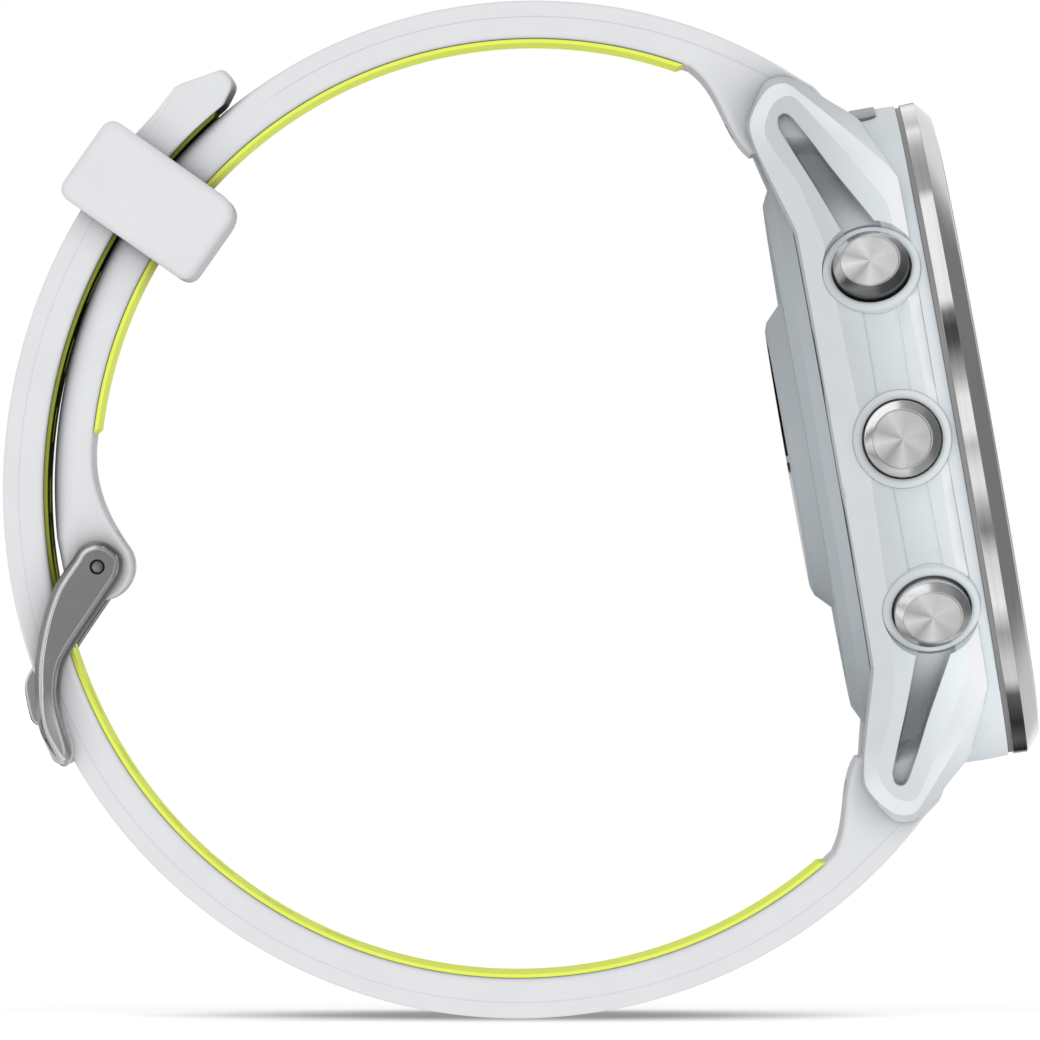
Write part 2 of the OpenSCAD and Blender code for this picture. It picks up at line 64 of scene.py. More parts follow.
# ---- measures of the design, as in the CAD model ----
TILT = radians(10)
BACK_X, BACK_Z = 20.43, 3.85
SEAM_Z = 10.42
GASKET_TOP = 10.77
CASE_H = 13.0
COVER_H = 1.67
COVER_R = 20.6
CORE_R = 21.4
BUTTON_Z = 6.55
BUTTONS = {"light": 148.3, "up": 180, "down": 211.7, "start": 31.7, "back": -31.7}
COLLAR_FLOOR = 21.75
COLLAR_FACE = 23.3
CAP_FACE = 24.34
LUG_Y, LUG_Z, LUG_R = 23.8, 2.6, 2.95
GAP_X = 11.1
LUG_X = 13.6
STRAP_W = 22.0
STRAP_T = 3.15
LINER_T = 0.3
LINER_W = 21.5
PIN = (-29.9, -4.03)
BULGE_R = 2.43
ARM_Y, ARM_T = 11.3, 1.6
HOLE_ANGLE, HOLE_STEP = 195.4, 8.6
KEEPER_C = (-26.25, 21.9)
KEEPER_A = radians(145)

CASE = Matrix(((0, -sin(TILT), cos(TILT), BACK_X * MM), (1, 0, 0, 0),
               (0, cos(TILT), sin(TILT), BACK_Z * MM), (0, 0, 0, 1)))


# ---- plane geometry ----
def spot(r, a):
    return (r * cos(radians(a)), r * sin(radians(a)))


def ray(centre, r, a):
    """Distance at which a ray from the loop's centre at angle a leaves a circle."""
    dx, dz = spot(1, a)
    across = centre[0] * dz - centre[1] * dx
    return centre[0] * dx + centre[1] * dz + sqrt(r * r - across * across)


def ease(t):
    t = min(1, max(0, t))
    return t * t * (3 - 2 * t)


def mix(a, b, t):
    return tuple(p + (q - p) * t for p, q in zip(a, b))


def case_pt(y, z):
    """A point of the case's middle plane, in the loop's plane."""
    return (BACK_X - sin(TILT) * y + cos(TILT) * z, BACK_Z + cos(TILT) * y + sin(TILT) * z)


def arc(centre, r, a0, a1, n):
    return [tuple(c + s for c, s in zip(centre, spot(r, a0 + (a1 - a0) * i / n))) for i in range(n + 1)]


def bezier(p0, p1, p2, p3, n):
    out = []
    for i in range(n + 1):
        t = i / n
        s = 1 - t
        out.append(tuple(s**3 * a + 3 * s * s * t * b + 3 * s * t * t * c + t**3 * d
                         for a, b, c, d in zip(p0, p1, p2, p3)))
    return out


def fillet(points, n=4, closed=True):
    """Round the corners of a polygon: a point is (x, y) or (x, y, radius)."""
    out = []
    for i, p in enumerate(points):
        r = p[2] if len(p) > 2 else 0
        if r <= 0 or (not closed and i in (0, len(points) - 1)):
            out.append((p[0], p[1]))
            continue
        a, c = points[i - 1], points[(i + 1) % len(points)]
        v = Vector((a[0] - p[0], a[1] - p[1]))
        w = Vector((c[0] - p[0], c[1] - p[1]))
        half = v.angle(w) / 2
        reach = min(r / tan(half), 0.49 * v.length, 0.49 * w.length)
        start, end = v.normalized() * reach, w.normalized() * reach
        for k in range(n + 1):
            t = k / n
            q = start * (1 - t) ** 2 + end * t * t
            out.append((p[0] + q.x, p[1] + q.y))
    return out


def rounded_box(x0, y0, x1, y1, r, n=6):
    return fillet([(x0, y0, r), (x1, y0, r), (x1, y1, r), (x0, y1, r)], n)


def flow(anchors, counts, closed=False):
    """A smooth curve through the anchors that stays straight along long stretches."""
    pts = [Vector(a) for a in anchors]
    last = len(pts) - 1
    slopes = []
    for i in range(len(pts)):
        if closed and i in (0, last):
            before, after = pts[0] - pts[last - 1], pts[1] - pts[0]
        else:
            before = pts[i] - pts[max(i - 1, 0)]
            after = pts[min(i + 1, last)] - pts[i]
        near = min(v for v in (before.length, after.length) if v > 0)
        heading = (before.normalized() if before.length else after.normalized()) + \
            (after.normalized() if after.length else before.normalized())
        slopes.append(heading.normalized() * near * (1 if near < 3 else 0.3))
    out = []
    for i in range(last):
        for k in range(counts[i]):
            t = k / counts[i]
            h = (2 * t**3 - 3 * t * t + 1, t**3 - 2 * t * t + t, -2 * t**3 + 3 * t * t, t**3 - t * t)
            out.append(tuple(pts[i] * h[0] + slopes[i] * h[1] + pts[i + 1] * h[2] + slopes[i + 1] * h[3]))
    if not closed:
        out.append(tuple(pts[last]))
    return out


def normals(points):
    """Unit normals of a closed outline, pointing out of it."""
    n = len(points)
    area = sum(points[i - 1][0] * points[i][1] - points[i][0] * points[i - 1][1] for i in range(n))
    turn = 1 if area > 0 else -1
    out = []
    for i in range(n):
        a, b, c = points[i - 1], points[i], points[(i + 1) % n]
        before = Vector((b[0] - a[0], b[1] - a[1])).normalized()
        after = Vector((c[0] - b[0], c[1] - b[1])).normalized()
        along = (before + after).normalized()
        out.append((along.y * turn, -along.x * turn))
    return out


# ---- meshes ----
def added(name, data):
    """A new object in the scene."""
    made = bpy.data.objects.new(name, data)
    bpy.context.scene.collection.objects.link(made)
    return made


def solid(name, verts, faces):
    """A closed mesh, with doubled points joined and its faces turned outwards."""
    mesh = bpy.data.meshes.new(name)
    mesh.from_pydata([tuple(v) for v in verts], [], faces)
    bm = bmesh.new()
    bm.from_mesh(mesh)
    bmesh.ops.remove_doubles(bm, verts=bm.verts, dist=1e-4)
    bmesh.ops.dissolve_degenerate(bm, edges=bm.edges, dist=1e-4)
    bmesh.ops.recalc_face_normals(bm, faces=bm.faces)
    bm.to_mesh(mesh)
    bm.free()
    return added(name, mesh)


def skin(rings, closed_path=False, caps=True):
    """Points and faces of a surface stretched over equal rings."""
    n = len(rings[0])
    verts = [p for ring in rings for p in ring]
    faces = []
    for k in range(len(rings) if closed_path else len(rings) - 1):
        lo, hi = k * n, (k + 1) % len(rings) * n
        faces += [(lo + i, lo + (i + 1) % n, hi + (i + 1) % n, hi + i) for i in range(n)]
    if caps and not closed_path:
        faces += [tuple(range(n)), tuple(range(len(verts) - n, len(verts)))]
    return verts, faces


def revolve(name, profile, steps=160):
    """Turn a closed profile of (r, z) about z; its points on the axis become poles."""
    rings = [[(r * cos(2 * pi * i / steps), r * sin(2 * pi * i / steps), z) for i in range(steps)]
             for r, z in profile]
    return solid(name, *skin(rings, closed_path=True))


def prism(name, outline_at, layers, place=lambda a, b, c: (a, b, c)):
    """Stack an outline in layers of (level, inset), each a number or a function of the point."""
    rings = []
    for level, inset in layers:
        points = outline_at(level(0) if callable(level) else level) if callable(outline_at) else outline_at
        out = normals(points)
        ring = []
        for i, (p, n) in enumerate(zip(points, out)):
            draw = inset(i) if callable(inset) else inset
            height = level(i) if callable(level) else level
            ring.append(place(p[0] - n[0] * draw, p[1] - n[1] * draw, height))
        rings.append(ring)
    return solid(name, *skin(rings))


def along_y(a, b, c):
    return (a, c, b)


def rounding(half, r, n=4):
    """Layers of a prism from -half to half whose two rims are rounded to r."""
    steps = [(r * (1 - cos(k * pi / 2 / n)), r * (1 - sin(k * pi / 2 / n))) for k in range(n + 1)]
    return [(-half + d, s) for d, s in steps] + [(half - d, s) for d, s in reversed(steps)]


def combine(piece, others, operation="DIFFERENCE"):
    """Boolean each of the others into the piece, and remove them."""
    for other in others:
        modifier = piece.modifiers.new("cut", "BOOLEAN")
        modifier.operation = operation
        modifier.solver = "EXACT"
        modifier.object = other
        bpy.context.view_layer.update()
        result = piece.evaluated_get(bpy.context.evaluated_depsgraph_get())
        mesh = bpy.data.meshes.new_from_object(result)
        piece.modifiers.clear()
        piece.data = mesh
        bpy.data.objects.remove(other)
    return piece


def moved(piece, matrix):
    piece.data.transform(matrix)
    if matrix.determinant() < 0:
        piece.data.flip_normals()
    return piece


def on_radius(a):
    """Turns z outwards from the case's axis at angle a, at the buttons' height."""
    return (Matrix.Translation((0, 0, BUTTON_Z)) @ Matrix.Rotation(radians(a), 4, "Z")
            @ Matrix.Rotation(pi / 2, 4, "Y"))


def dress(piece, body, slot, finishes, *nodes, at=None, sharp=35, paint=None, soft=False):
    """Scale a finished piece to metres, give it its materials and put it on its body."""
    mesh = piece.data
    mesh.transform(Matrix.Scale(MM, 4))
    mesh.materials.clear()
    for finish in finishes if isinstance(finishes, list) else [finishes]:
        mesh.materials.append(finish)
    for face in mesh.polygons:
        face.material_index = paint(face.center / MM, face.normal) if paint else 0
    mesh.shade_smooth()
    mesh.set_sharp_from_angle(angle=radians(sharp))
    if soft:
        modifier = piece.modifiers.new("even normals", "WEIGHTED_NORMAL")
        modifier.keep_sharp = True
        modifier.weight = 90
    if at is not None:
        piece.matrix_world = at
    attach(piece, body)
    if nodes:
        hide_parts(*nodes)
    return piece


# ---- materials ----
UNIT = (0, 1)


def feed(socket, source):
    """Give a socket a constant, or link another node's output to it."""
    if isinstance(source, bpy.types.NodeSocket):
        socket.id_data.links.new(source, socket)
    else:
        socket.default_value = source


def node(nodes, kind, *sources, **settings):
    """A shader node: sources feed its first inputs, settings its named inputs and its properties."""
    made = nodes.new("ShaderNode" + kind)
    for key, value in settings.items():
        if key in made.inputs:
            feed(made.inputs[key], value)
        else:
            setattr(made, key, value)
    for socket, source in zip(made.inputs, sources):
        feed(socket, source)
    return made


def shader(name, colour, roughness, **values):
    """A Principled material and its sockets; each value is set on the shader's own socket."""
    finish = bpy.data.materials.new(name)
    finish.use_nodes = True
    nodes = finish.node_tree.nodes
    surface = nodes["Principled BSDF"].inputs
    surface["Base Color"].default_value = (*colour, 1)
    surface["Roughness"].default_value = roughness
    for key, value in values.items():
        surface[key.replace("_", " ")].default_value = value
    return finish, nodes, surface


def place_on(nodes):
    """The piece's own coordinates, in metres."""
    return nodes.new("ShaderNodeTexCoord").outputs["Object"]


def noise(nodes, vector, scale, detail=3):
    return node(nodes, "TexNoise", Vector=vector, Scale=scale, Detail=detail).outputs["Fac"]


def tint(nodes, fac, stops):
    """A colour ramp over a factor."""
    ramp = node(nodes, "ValToRGB", fac)
    elements = ramp.color_ramp.elements
    elements[0].position, elements[0].color = stops[0][0], (*stops[0][1], 1)
    elements[1].position, elements[1].color = stops[-1][0], (*stops[-1][1], 1)
    for place, colour in stops[1:-1]:
        elements.new(place).color = (*colour, 1)
    return ramp.outputs["Color"]


def greys(stops):
    return [(place, (value, value, value)) for place, value in stops]


def remap(nodes, value, source, target, smooth=False):
    """Map a value from one range to another; a smooth map eases in and out."""
    way = "SMOOTHSTEP" if smooth else "LINEAR"
    return node(nodes, "MapRange", value, *source, *target, interpolation_type=way).outputs["Result"]


def blend(nodes, factor, first, second, kind="MIX"):
    """Mix two colours. The node's sockets share their names, so its colours are known by their places."""
    made = node(nodes, "Mix", factor, data_type="RGBA", blend_type=kind)
    feed(made.inputs[6], first)
    feed(made.inputs[7], second)
    return made.outputs[2]


def from_axis(nodes, place, stretch=(1, 1, 0)):
    """Distance from the z axis, with x and y stretched."""
    flat = node(nodes, "VectorMath", place, stretch, operation="MULTIPLY")
    return node(nodes, "VectorMath", flat.outputs[0], operation="LENGTH").outputs["Value"]


def bump(nodes, height, strength, distance):
    return node(nodes, "Bump", Strength=strength, Distance=distance, Height=height).outputs["Normal"]


def shades(colour, by):
    return [(0.3, tuple(c * (1 - by) for c in colour)), (0.7, tuple(c * (1 + by) for c in colour))]


def moulded(name, colour, roughness, grain=4200, relief=0.3, depth=0.00002, mottle=0.012, crevice=0.0,
            shut=1.0, painted_glow=0.0, **values):
    """Moulded plastic or rubber: faint mottling and a fine eroded grain.

    Crevices narrower than crevice, in metres, darken by the share shut: painted shade, by ambient occlusion.
    Where a glow is set, the surface also glows with that colour, a painted light."""
    finish, nodes, surface = shader(name, colour, roughness, **values)
    place = place_on(nodes)
    tone = tint(nodes, noise(nodes, place, 260), shades(colour, mottle))
    if crevice:
        # painted shade: crevices darken the colour by ambient occlusion
        closed = node(nodes, "AmbientOcclusion", tone, crevice, samples=6)
        tone = blend(nodes, shut, tone, closed.outputs["Color"])
        # painted light: the surface glows with its shaded colour, at the glow's strength
        feed(surface["Emission Color"], tone)
        feed(surface["Emission Strength"], painted_glow)
    feed(surface["Base Color"], tone)
    fine = noise(nodes, place, grain, 2)
    feed(surface["Roughness"], remap(nodes, fine, UNIT, (roughness - 0.06, roughness + 0.06)))
    feed(surface["Normal"], bump(nodes, fine, relief, depth))
    return finish


def turned(name, colour, roughness, lines, relief=0.15, aniso=0.0, sectors=None, **values):
    """Metal turned or spun about the piece's z: fine rings, and soft sectors of painted reflection if given.
    """
    finish, nodes, surface = shader(name, colour, roughness, Metallic=1.0, **values)
    place = place_on(nodes)
    parts = node(nodes, "SeparateXYZ", place).outputs
    angle = node(nodes, "Math", parts["Y"], parts["X"], operation="ARCTAN2").outputs[0]
    slow = node(nodes, "Math", angle, 0.0006, operation="MULTIPLY").outputs[0]
    groove = node(nodes, "CombineXYZ", from_axis(nodes, place), parts["Z"], slow)
    streak = noise(nodes, groove.outputs[0], lines, 2)
    tone = tint(nodes, streak, shades(colour, 0.05))
    if sectors:
        # painted reflection: bright and dark sectors multiply the colour
        reflection_fan = tint(nodes, remap(nodes, angle, (-pi, pi), UNIT), greys(sectors))
        tone = blend(nodes, 1, tone, reflection_fan, "MULTIPLY")
    feed(surface["Base Color"], tone)
    feed(surface["Roughness"], remap(nodes, streak, UNIT, (roughness - 0.05, roughness + 0.08)))
    feed(surface["Normal"], bump(nodes, streak, relief, 0.000012))
    if aniso:
        feed(surface["Anisotropic"], aniso)
        feed(surface["Tangent"], node(nodes, "Tangent", direction_type="RADIAL", axis="Z").outputs[0])
    return finish


def satin(name, colour, roughness, metallic=1.0):
    """Bead-blasted metal: a fine even sparkle."""
    return moulded(name, colour, roughness, grain=9000, relief=0.12, depth=0.00001, mottle=0.03,
                   Metallic=metallic)


def fade(finish, axis, start, end, low, high):
    """Scale a finish's base colour from low to high along an axis of the piece, in metres, for painted light
    and shade.
    """
    nodes = finish.node_tree.nodes
    colour = nodes["Principled BSDF"].inputs["Base Color"]
    level = node(nodes, "SeparateXYZ", place_on(nodes)).outputs[axis]
    share = remap(nodes, level, (start, end), (low, high), smooth=True)
    scaled = node(nodes, "VectorMath", colour.links[0].from_socket, operation="SCALE", Scale=share)
    feed(colour, scaled.outputs[0])


def glazed(name, colour, roughness, **values):
    """Glass or polished plastic with faint smears in its gloss."""
    finish, nodes, surface = shader(name, colour, roughness, **values)
    smear = noise(nodes, place_on(nodes), 90, 4)
    feed(surface["Roughness"], remap(nodes, smear, UNIT, (roughness, roughness + 0.04)))
    feed(surface["Base Color"], tint(nodes, smear, shades(colour, 0.06)))
    return finish


POLYMER = moulded("case_polymer", (0.63, 0.67, 0.69), 0.42, Specular_IOR_Level=0.35)
# painted light: the rails' bevels take a lighter copy of the case's polymer
LIT_BEVEL_POLYMER = moulded("bevel_polymer_painted_light", (0.745, 0.755, 0.775), 0.42, Specular_IOR_Level=0.35)
# painted shade: the lugs' recesses take a darker copy of the polymer, darkened further in crevices
SHADED_RECESS_POLYMER = moulded("recess_polymer_painted_shade", (0.54, 0.56, 0.58), 0.45, crevice=0.0026, shut=0.25,
                         Specular_IOR_Level=0.3)
# painted shade: the rails' back edges take a darker copy of the polymer, without gloss
SHADED_BACK_EDGE_POLYMER = moulded("back_edge_polymer_painted_shade", (0.55, 0.58, 0.6), 0.6, Specular_IOR_Level=0.0)
BACK_POLYMER = moulded("back_polymer", (0.475, 0.515, 0.54), 0.45, Specular_IOR_Level=0.3)
WHITE_SILICONE = (0.77, 0.775, 0.795)
# painted shade: the strap silicone darkens in crevices by ambient occlusion, more on the short strap, which
# lies under the long one
SILICONE = moulded("strap_silicone", WHITE_SILICONE, 0.58, crevice=0.0026, shut=0.5, grain=5200, relief=0.22,
                   Specular_IOR_Level=0.25)
SHADED_COVERED_SILICONE = moulded("covered_silicone_painted_shade", WHITE_SILICONE, 0.58, crevice=0.005, shut=0.85, grain=5200,
                           relief=0.22, Specular_IOR_Level=0.25)
# painted shade and light: the liner darkens in crevices and glows with its own colour
LINER = moulded("liner_silicone", (0.66, 0.74, 0.1), 0.6, crevice=0.003, painted_glow=0.34, grain=3800, relief=0.2,
                Specular_IOR_Level=0.08)
POLISHED = turned("bezel_polished", (0.8, 0.8, 0.8), 0.07, 3000, relief=0.03)
BRUSHED = turned("bezel_brushed", (0.85, 0.85, 0.85), 0.16, 14000, relief=0.2, aniso=0.3)
# Painted reflections: bright and dark sectors of the spun caps and of their rims, as (share of a turn,
# brightness)
SPUN_REFLECTION_FAN = [(0.0, 0.92), (0.06, 1), (0.2, 0.84), (0.3, 1), (0.42, 0.62), (0.5, 1), (0.62, 0.55), (0.72, 1),
       (0.82, 0.8), (0.9, 1), (1.0, 0.92)]
RIM_REFLECTION_FAN = [(0.0, 1), (0.25, 1.5), (0.45, 1.5), (0.6, 0.8), (0.75, 1.2), (0.9, 1), (1.0, 1)]
LIGHT_RIM_REFLECTION_FAN = [(0.0, 0.7), (0.2, 1.5), (0.4, 1.5), (0.55, 0.6), (0.62, 0.3), (0.88, 0.3), (1.0, 0.7)]
SPUN = turned("button_spun", (0.93, 0.93, 0.92), 0.3, 12000, relief=0.3, aniso=0.75, sectors=SPUN_REFLECTION_FAN)
# painted reflection: the caps' rims take a darker copy of the spun steel with their own sectors
CAP_RIM_REFLECTION, LIGHT_RIM_REFLECTION = (turned(name, (0.6, 0.6, 0.6), 0.2, 9000, relief=0.5, aniso=0.3, sectors=reflection_fan)
                      for name, reflection_fan in [("button_rim_painted_reflection", RIM_REFLECTION_FAN), ("light_rim_painted_reflection", LIGHT_RIM_REFLECTION_FAN)])
SATIN = satin("buckle_satin", (0.31, 0.31, 0.31), 0.42)
# painted light: the arms' copy of the satin steel lightens towards their lower ends
LIT_END_ARM_SATIN = satin("arm_satin_painted_light", (0.31, 0.31, 0.31), 0.42)
# painted highlight: a bright copy of the steel for the rims of the buckle and the tongue
HIGHLIGHT_RIM_STEEL = satin("buckle_rim_painted_highlight", (0.78, 0.78, 0.78), 0.25)
TONGUE_STEEL = satin("tongue_steel", (0.36, 0.36, 0.36), 0.35)
STEEL = satin("plain_steel", (0.6, 0.6, 0.61), 0.3)
RUBBER = moulded("seal_rubber", (0.02, 0.02, 0.021), 0.6, grain=3000)
GASKET = satin("gasket_grey", (0.34, 0.34, 0.345), 0.5, metallic=0.4)
LENS = glazed("lens_glass", (0.006, 0.006, 0.008), 0.04, Coat_Weight=0.6)
SENSOR = glazed("sensor_glass", (0.012, 0.012, 0.014), 0.05, Coat_Weight=0.4)
TORCH = glazed("torch_glass", (0.16, 0.155, 0.21), 0.22)
BLACK = moulded("black_plastic", (0.025, 0.025, 0.028), 0.5)
BOARD = moulded("circuit_board", (0.02, 0.09, 0.045), 0.4, grain=1500, mottle=0.2)
GOLD = satin("gold_contact", (0.83, 0.58, 0.22), 0.22)
LED = glazed("led_body", (0.7, 0.72, 0.5), 0.2)
FOIL = satin("battery_foil", (0.62, 0.63, 0.65), 0.35)
FLEX = moulded("flex_strip", (0.55, 0.26, 0.05), 0.35, grain=1800, mottle=0.1)

# Painted light: the case gets lighter towards the display, 6 o'clock and the lugs' tips; the arms towards
# their lower ends
for finish in (POLYMER, LIT_BEVEL_POLYMER):
    fade(finish, "Z", 0.003, 0.0095, 0.91, 1.2)
fade(POLYMER, "Y", -0.010, -0.017, 1, 1.17)
for tip in (-0.025, 0.025):
    fade(LIT_BEVEL_POLYMER, "Y", 0.8 * tip, tip, 1, 1.3)
fade(LIT_END_ARM_SATIN, "Z", -0.0085, -0.0115, 1, 2.4)

FINISH_OF_SLOT = {
    "case_polymer": POLYMER, "back_polymer": BACK_POLYMER, "steel": STEEL, "button_steel": STEEL,
    "buckle_steel": SATIN, "lens_glass": LENS, "sensor_glass": SENSOR, "torch_glass": TORCH,
    "black_plastic": BLACK, "circuit_board": BOARD, "gold_contact": GOLD, "led_body": LED,
    "battery_foil": FOIL, "flex_strip": FLEX, "seal_rubber": RUBBER, "strap_silicone": SILICONE,
    "liner_silicone": LINER}


# ---- stage: floor, camera and light ----
FLOOR_HALF = 6.0            # half the floor's width, in metres
SHADE_REACH = (0.008, 0.031)    # the floor's contact shade fades out between these distances from the middle
FOCAL = 874.9               # a long lens, as the photograph has almost no perspective
CAMERA_PLACE = (0, -1.8, -0.000712)


def make_stage():
    """A white floor under the watch, with a painted contact shadow where the strap rests on it."""
    level = cad_box[0][2]
    corners = [(x * FLOOR_HALF, y * FLOOR_HALF, level) for x, y in ((-1, -1), (1, -1), (1, 1), (-1, 1))]
    mesh = bpy.data.meshes.new("floor")
    mesh.from_pydata(corners, [], [(0, 1, 2, 3)])
    floor = added("floor", mesh)
    finish, nodes, surface = shader("floor_white", (0.9, 0.9, 0.9), 0.9, Specular_IOR_Level=0.0,
                                    Emission_Color=(1, 1, 1, 1))
    reach = from_axis(nodes, place_on(nodes), (1, 1.1, 0))
    # painted shadow: the floor's glow and colour drop near the middle, under the strap
    for socket, shades_of in [("Emission Strength", (0.0, 0.35)), ("Base Color", (0.45, 0.9))]:
        feed(surface[socket], remap(nodes, reach, SHADE_REACH, shades_of, smooth=True))
    mesh.materials.append(finish)
    floor.visible_glossy = floor.visible_diffuse = floor.visible_shadow = False


def make_camera():
    data = bpy.data.cameras.new("camera")
    data.lens = FOCAL
    data.sensor_width = 36
    data.clip_start = 0.1
    data.clip_end = 100
    camera = added("camera", data)
    camera.location = CAMERA_PLACE
    camera.rotation_euler = (pi / 2, 0, 0)
    bpy.context.scene.camera = camera


# Strip lights and dark flags round the case's axis: (angle, brightness); 0 faces the camera side, and a
# positive angle is towards 6 o'clock. STUDIO is met square to the axis, FRONT leaning out of the display.
STUDIO = [(-180, 0.0), (-176, 0.02), (-170, 0.7), (-160, 0.98), (-138, 0.65), (-132, 0.98), (-120, 0.52),
          (-108, 0.38), (-94, 0.4), (-90, 1.0), (-46, 1.0), (-42, 0.2), (-36, 0.06), (-30, 0.09),
          (-18, 0.5), (-11, 1.0), (1, 1.0), (6, 0.6), (14, 0.88), (20, 0.95), (30, 0.43), (37, 0.24),
          (47, 0.8), (66, 1.0), (78, 0.4), (92, 0.7), (102, 0.75), (110, 0.12), (130, 0.03), (146, 0.1),
          (165, 0.0), (175, 0.6)]
FRONT = [(-180, 0.2), (-179, 0.2), (-178, 1.0), (-174, 1.0), (-171, 0.78), (-151, 0.78), (-147, 0.5),
         (-138, 0.35), (0, 0.3), (138, 0.5), (150, 0.6), (167, 0.6), (171, 0.95), (178, 1.0), (179, 0.2)]


def make_world():
    """White for the camera, strip lights for reflections and a soft white tent for matt surfaces."""
    world = bpy.data.worlds.new("studio")
    world.use_nodes = True
    nodes = world.node_tree.nodes
    nodes.clear()
    way = nodes.new("ShaderNodeTexCoord").outputs["Generated"]

    def along(vector):
        return node(nodes, "VectorMath", way, vector, operation="DOT_PRODUCT").outputs["Value"]

    down, near = along((sin(TILT), 0, -cos(TILT))), along((0, -1, 0))
    angle = node(nodes, "Math", down, near, operation="ARCTAN2").outputs[0]
    turn = remap(nodes, angle, (-pi, pi), UNIT)
    ring, front = (tint(nodes, turn, greys([((a + 180) / 360, v) for a, v in strips]))
                   for strips in (STUDIO, FRONT))
    out = along((cos(TILT), 0, sin(TILT)))

    def leaning(span, near_one, far_one):
        return blend(nodes, remap(nodes, out, span, UNIT, smooth=True), near_one, far_one)

    grey = (0.19, 0.19, 0.19, 1)
    studio = node(nodes, "Background", leaning((0.62, 0.8), leaning((0.04, 0.12), ring, front), grey))
    tent = node(nodes, "Background", remap(nodes, along((0, -0.92, -0.39)), (-1, 1), (0.6, 1.04)))
    paper = node(nodes, "Background", (1, 1, 1, 1))
    seen = nodes.new("ShaderNodeLightPath").outputs

    def choose(kind, other, this):
        return node(nodes, "MixShader", seen[kind], other.outputs[0], this.outputs[0])

    mixed = choose("Is Camera Ray", choose("Is Glossy Ray", tent, studio), paper)
    node(nodes, "OutputWorld", mixed.outputs[0])
    bpy.context.scene.world = world


def make_lamp(name, place, size, power):
    """A soft panel that fills matt surfaces and leaves no mirror image of itself."""
    data = bpy.data.lights.new(name, "AREA")
    data.shape = "DISK"
    data.size = size
    data.energy = power
    lamp = added(name, data)
    lamp.location = place
    lamp.rotation_euler = (-Vector(place)).to_track_quat("-Z", "Y").to_euler()
    lamp.visible_glossy = False


make_stage()
make_camera()
make_world()
make_lamp("near_panel", (-0.2, -1.2, 0.5), 0.9, 1.2)
bpy.context.scene.view_settings.view_transform = "Standard"


# ---- strap ----
# Angles round the loop, in degrees, between which each face of a strap runs
SHORT_OUTER, SHORT_INNER = (57.5, 183.5), (170, 69)
LONG_OUTER, LONG_INNER = (322.6, 132.1), (130, 310)
SHORT_LINER, LONG_LINER = (69.8, 169.8), (127.2, 311)
OVERLAP_END = 193       # the long strap's liner is narrower up to here, over the short strap
TAIL_CORNER = 2.6       # radius of the tail's corners in plan
BORE_R = 0.8            # bores for the lug bars and the buckle's pin
BORE_HALF = 12          # half a bore cutter's length


def short_out(a):
    return ray((1.07, 1.52), 34.54, a) - 0.5 * ease((a - 130) / 50)


def short_in(a):
    return ray((1.0, 1.99), 31.08, a)


def long_out(a):
    t = ease((215 - a) / 20)
    return (1 - t) * ray((-0.17, 0.17), 36.17, a) + t * ray((2.04, 1.36), 38.64, a)


def long_in(a):
    return long_out(a) - STRAP_T


def angles(a0, a1, step=1.5):
    n = max(2, round(abs(a1 - a0) / step))
    return [a0 + (a1 - a0) * i / n for i in range(n + 1)]


def along_strap(radius, a0, a1):
    return [spot(radius(a), a) for a in angles(a0, a1)]


def lug_end(side):
    """From the strap's inner face round the lug bar; side is 1 at 12 o'clock."""
    sweep = bezier(case_pt(side * 28.1, -3.1), case_pt(side * 26.2, -1.6), case_pt(side * 23.4, -1.8),
                   case_pt(side * 21.7, -0.3), 12)
    hub = [case_pt(side * (LUG_Y + r[0]), LUG_Z + r[1]) for r in arc((0, 0), LUG_R, 224, 50, 24)]
    return sweep + hub


# How the strap's sides are drawn in, as (depth, inset): with a fine groove beside the outer face, soft on the
# inner face, and crowned where the other strap lies over it
GROOVED = [(0, 1.2), (0.04, 1.13), (0, 1.06), (0.004, 0.2), (0.03, 0.1), (0.1, 0.03), (0.22, 0), (0.6, 0)]
SOFT = [(0, 0.62), (0.004, 0.52), (0.012, 0.45), (0.03, 0.33), (0.08, 0.18), (0.18, 0.08), (0.35, 0.02),
        (0.6, 0)]
CROWNED = [(0, 1.6), (0.03, 1.38), (0.09, 1.15), (0.22, 0.85), (0.42, 0.54), (0.75, 0.26), (1.25, 0.08),
           (2, 0)]
MIDDLE = (-7.5, -5.5, -3, 0, 3, 5.5, 7.5)


def strap_layers(outer, covered, fine):
    """Prism layers over the strap's width.

    Each point takes a share of the outer side and of the crown, and fine makes its rounding smaller."""
    half = STRAP_W / 2

    def blend(k, part):
        def value(i):
            side = SOFT[k][part] + (GROOVED[k][part] - SOFT[k][part]) * outer[i]
            return (side + (CROWNED[k][part] - side) * covered[i]) * (1 - fine[i])
        return value

    rims = [(blend(k, 0), blend(k, 1)) for k in range(len(SOFT))]
    near = [(lambda i, d=d: d(i) - half, inset) for d, inset in rims]
    far = [(lambda i, d=d: half - d(i), inset) for d, inset in reversed(rims)]
    return near + [(y, 0) for y in MIDDLE] + far


def eased_weights(weights, passes=6):
    n = len(weights)
    for _ in range(passes):
        weights = [(weights[i - 1] + weights[i] + weights[(i + 1) % n]) / 3 for i in range(n)]
    return weights


def slot_cutter(a):
    """A round-ended hole, 3.2 mm wide and 2.5 mm long, through the strap at angle a."""
    out, tangent = spot(1, a), spot(1, a + 90)
    return prism("slot", rounded_box(-1.6, -1.25, 1.6, 1.25, 0.9), [(30, 0), (41, 0)],
                 lambda y, s, r: (out[0] * r + tangent[0] * s, y, out[1] * r + tangent[1] * s))


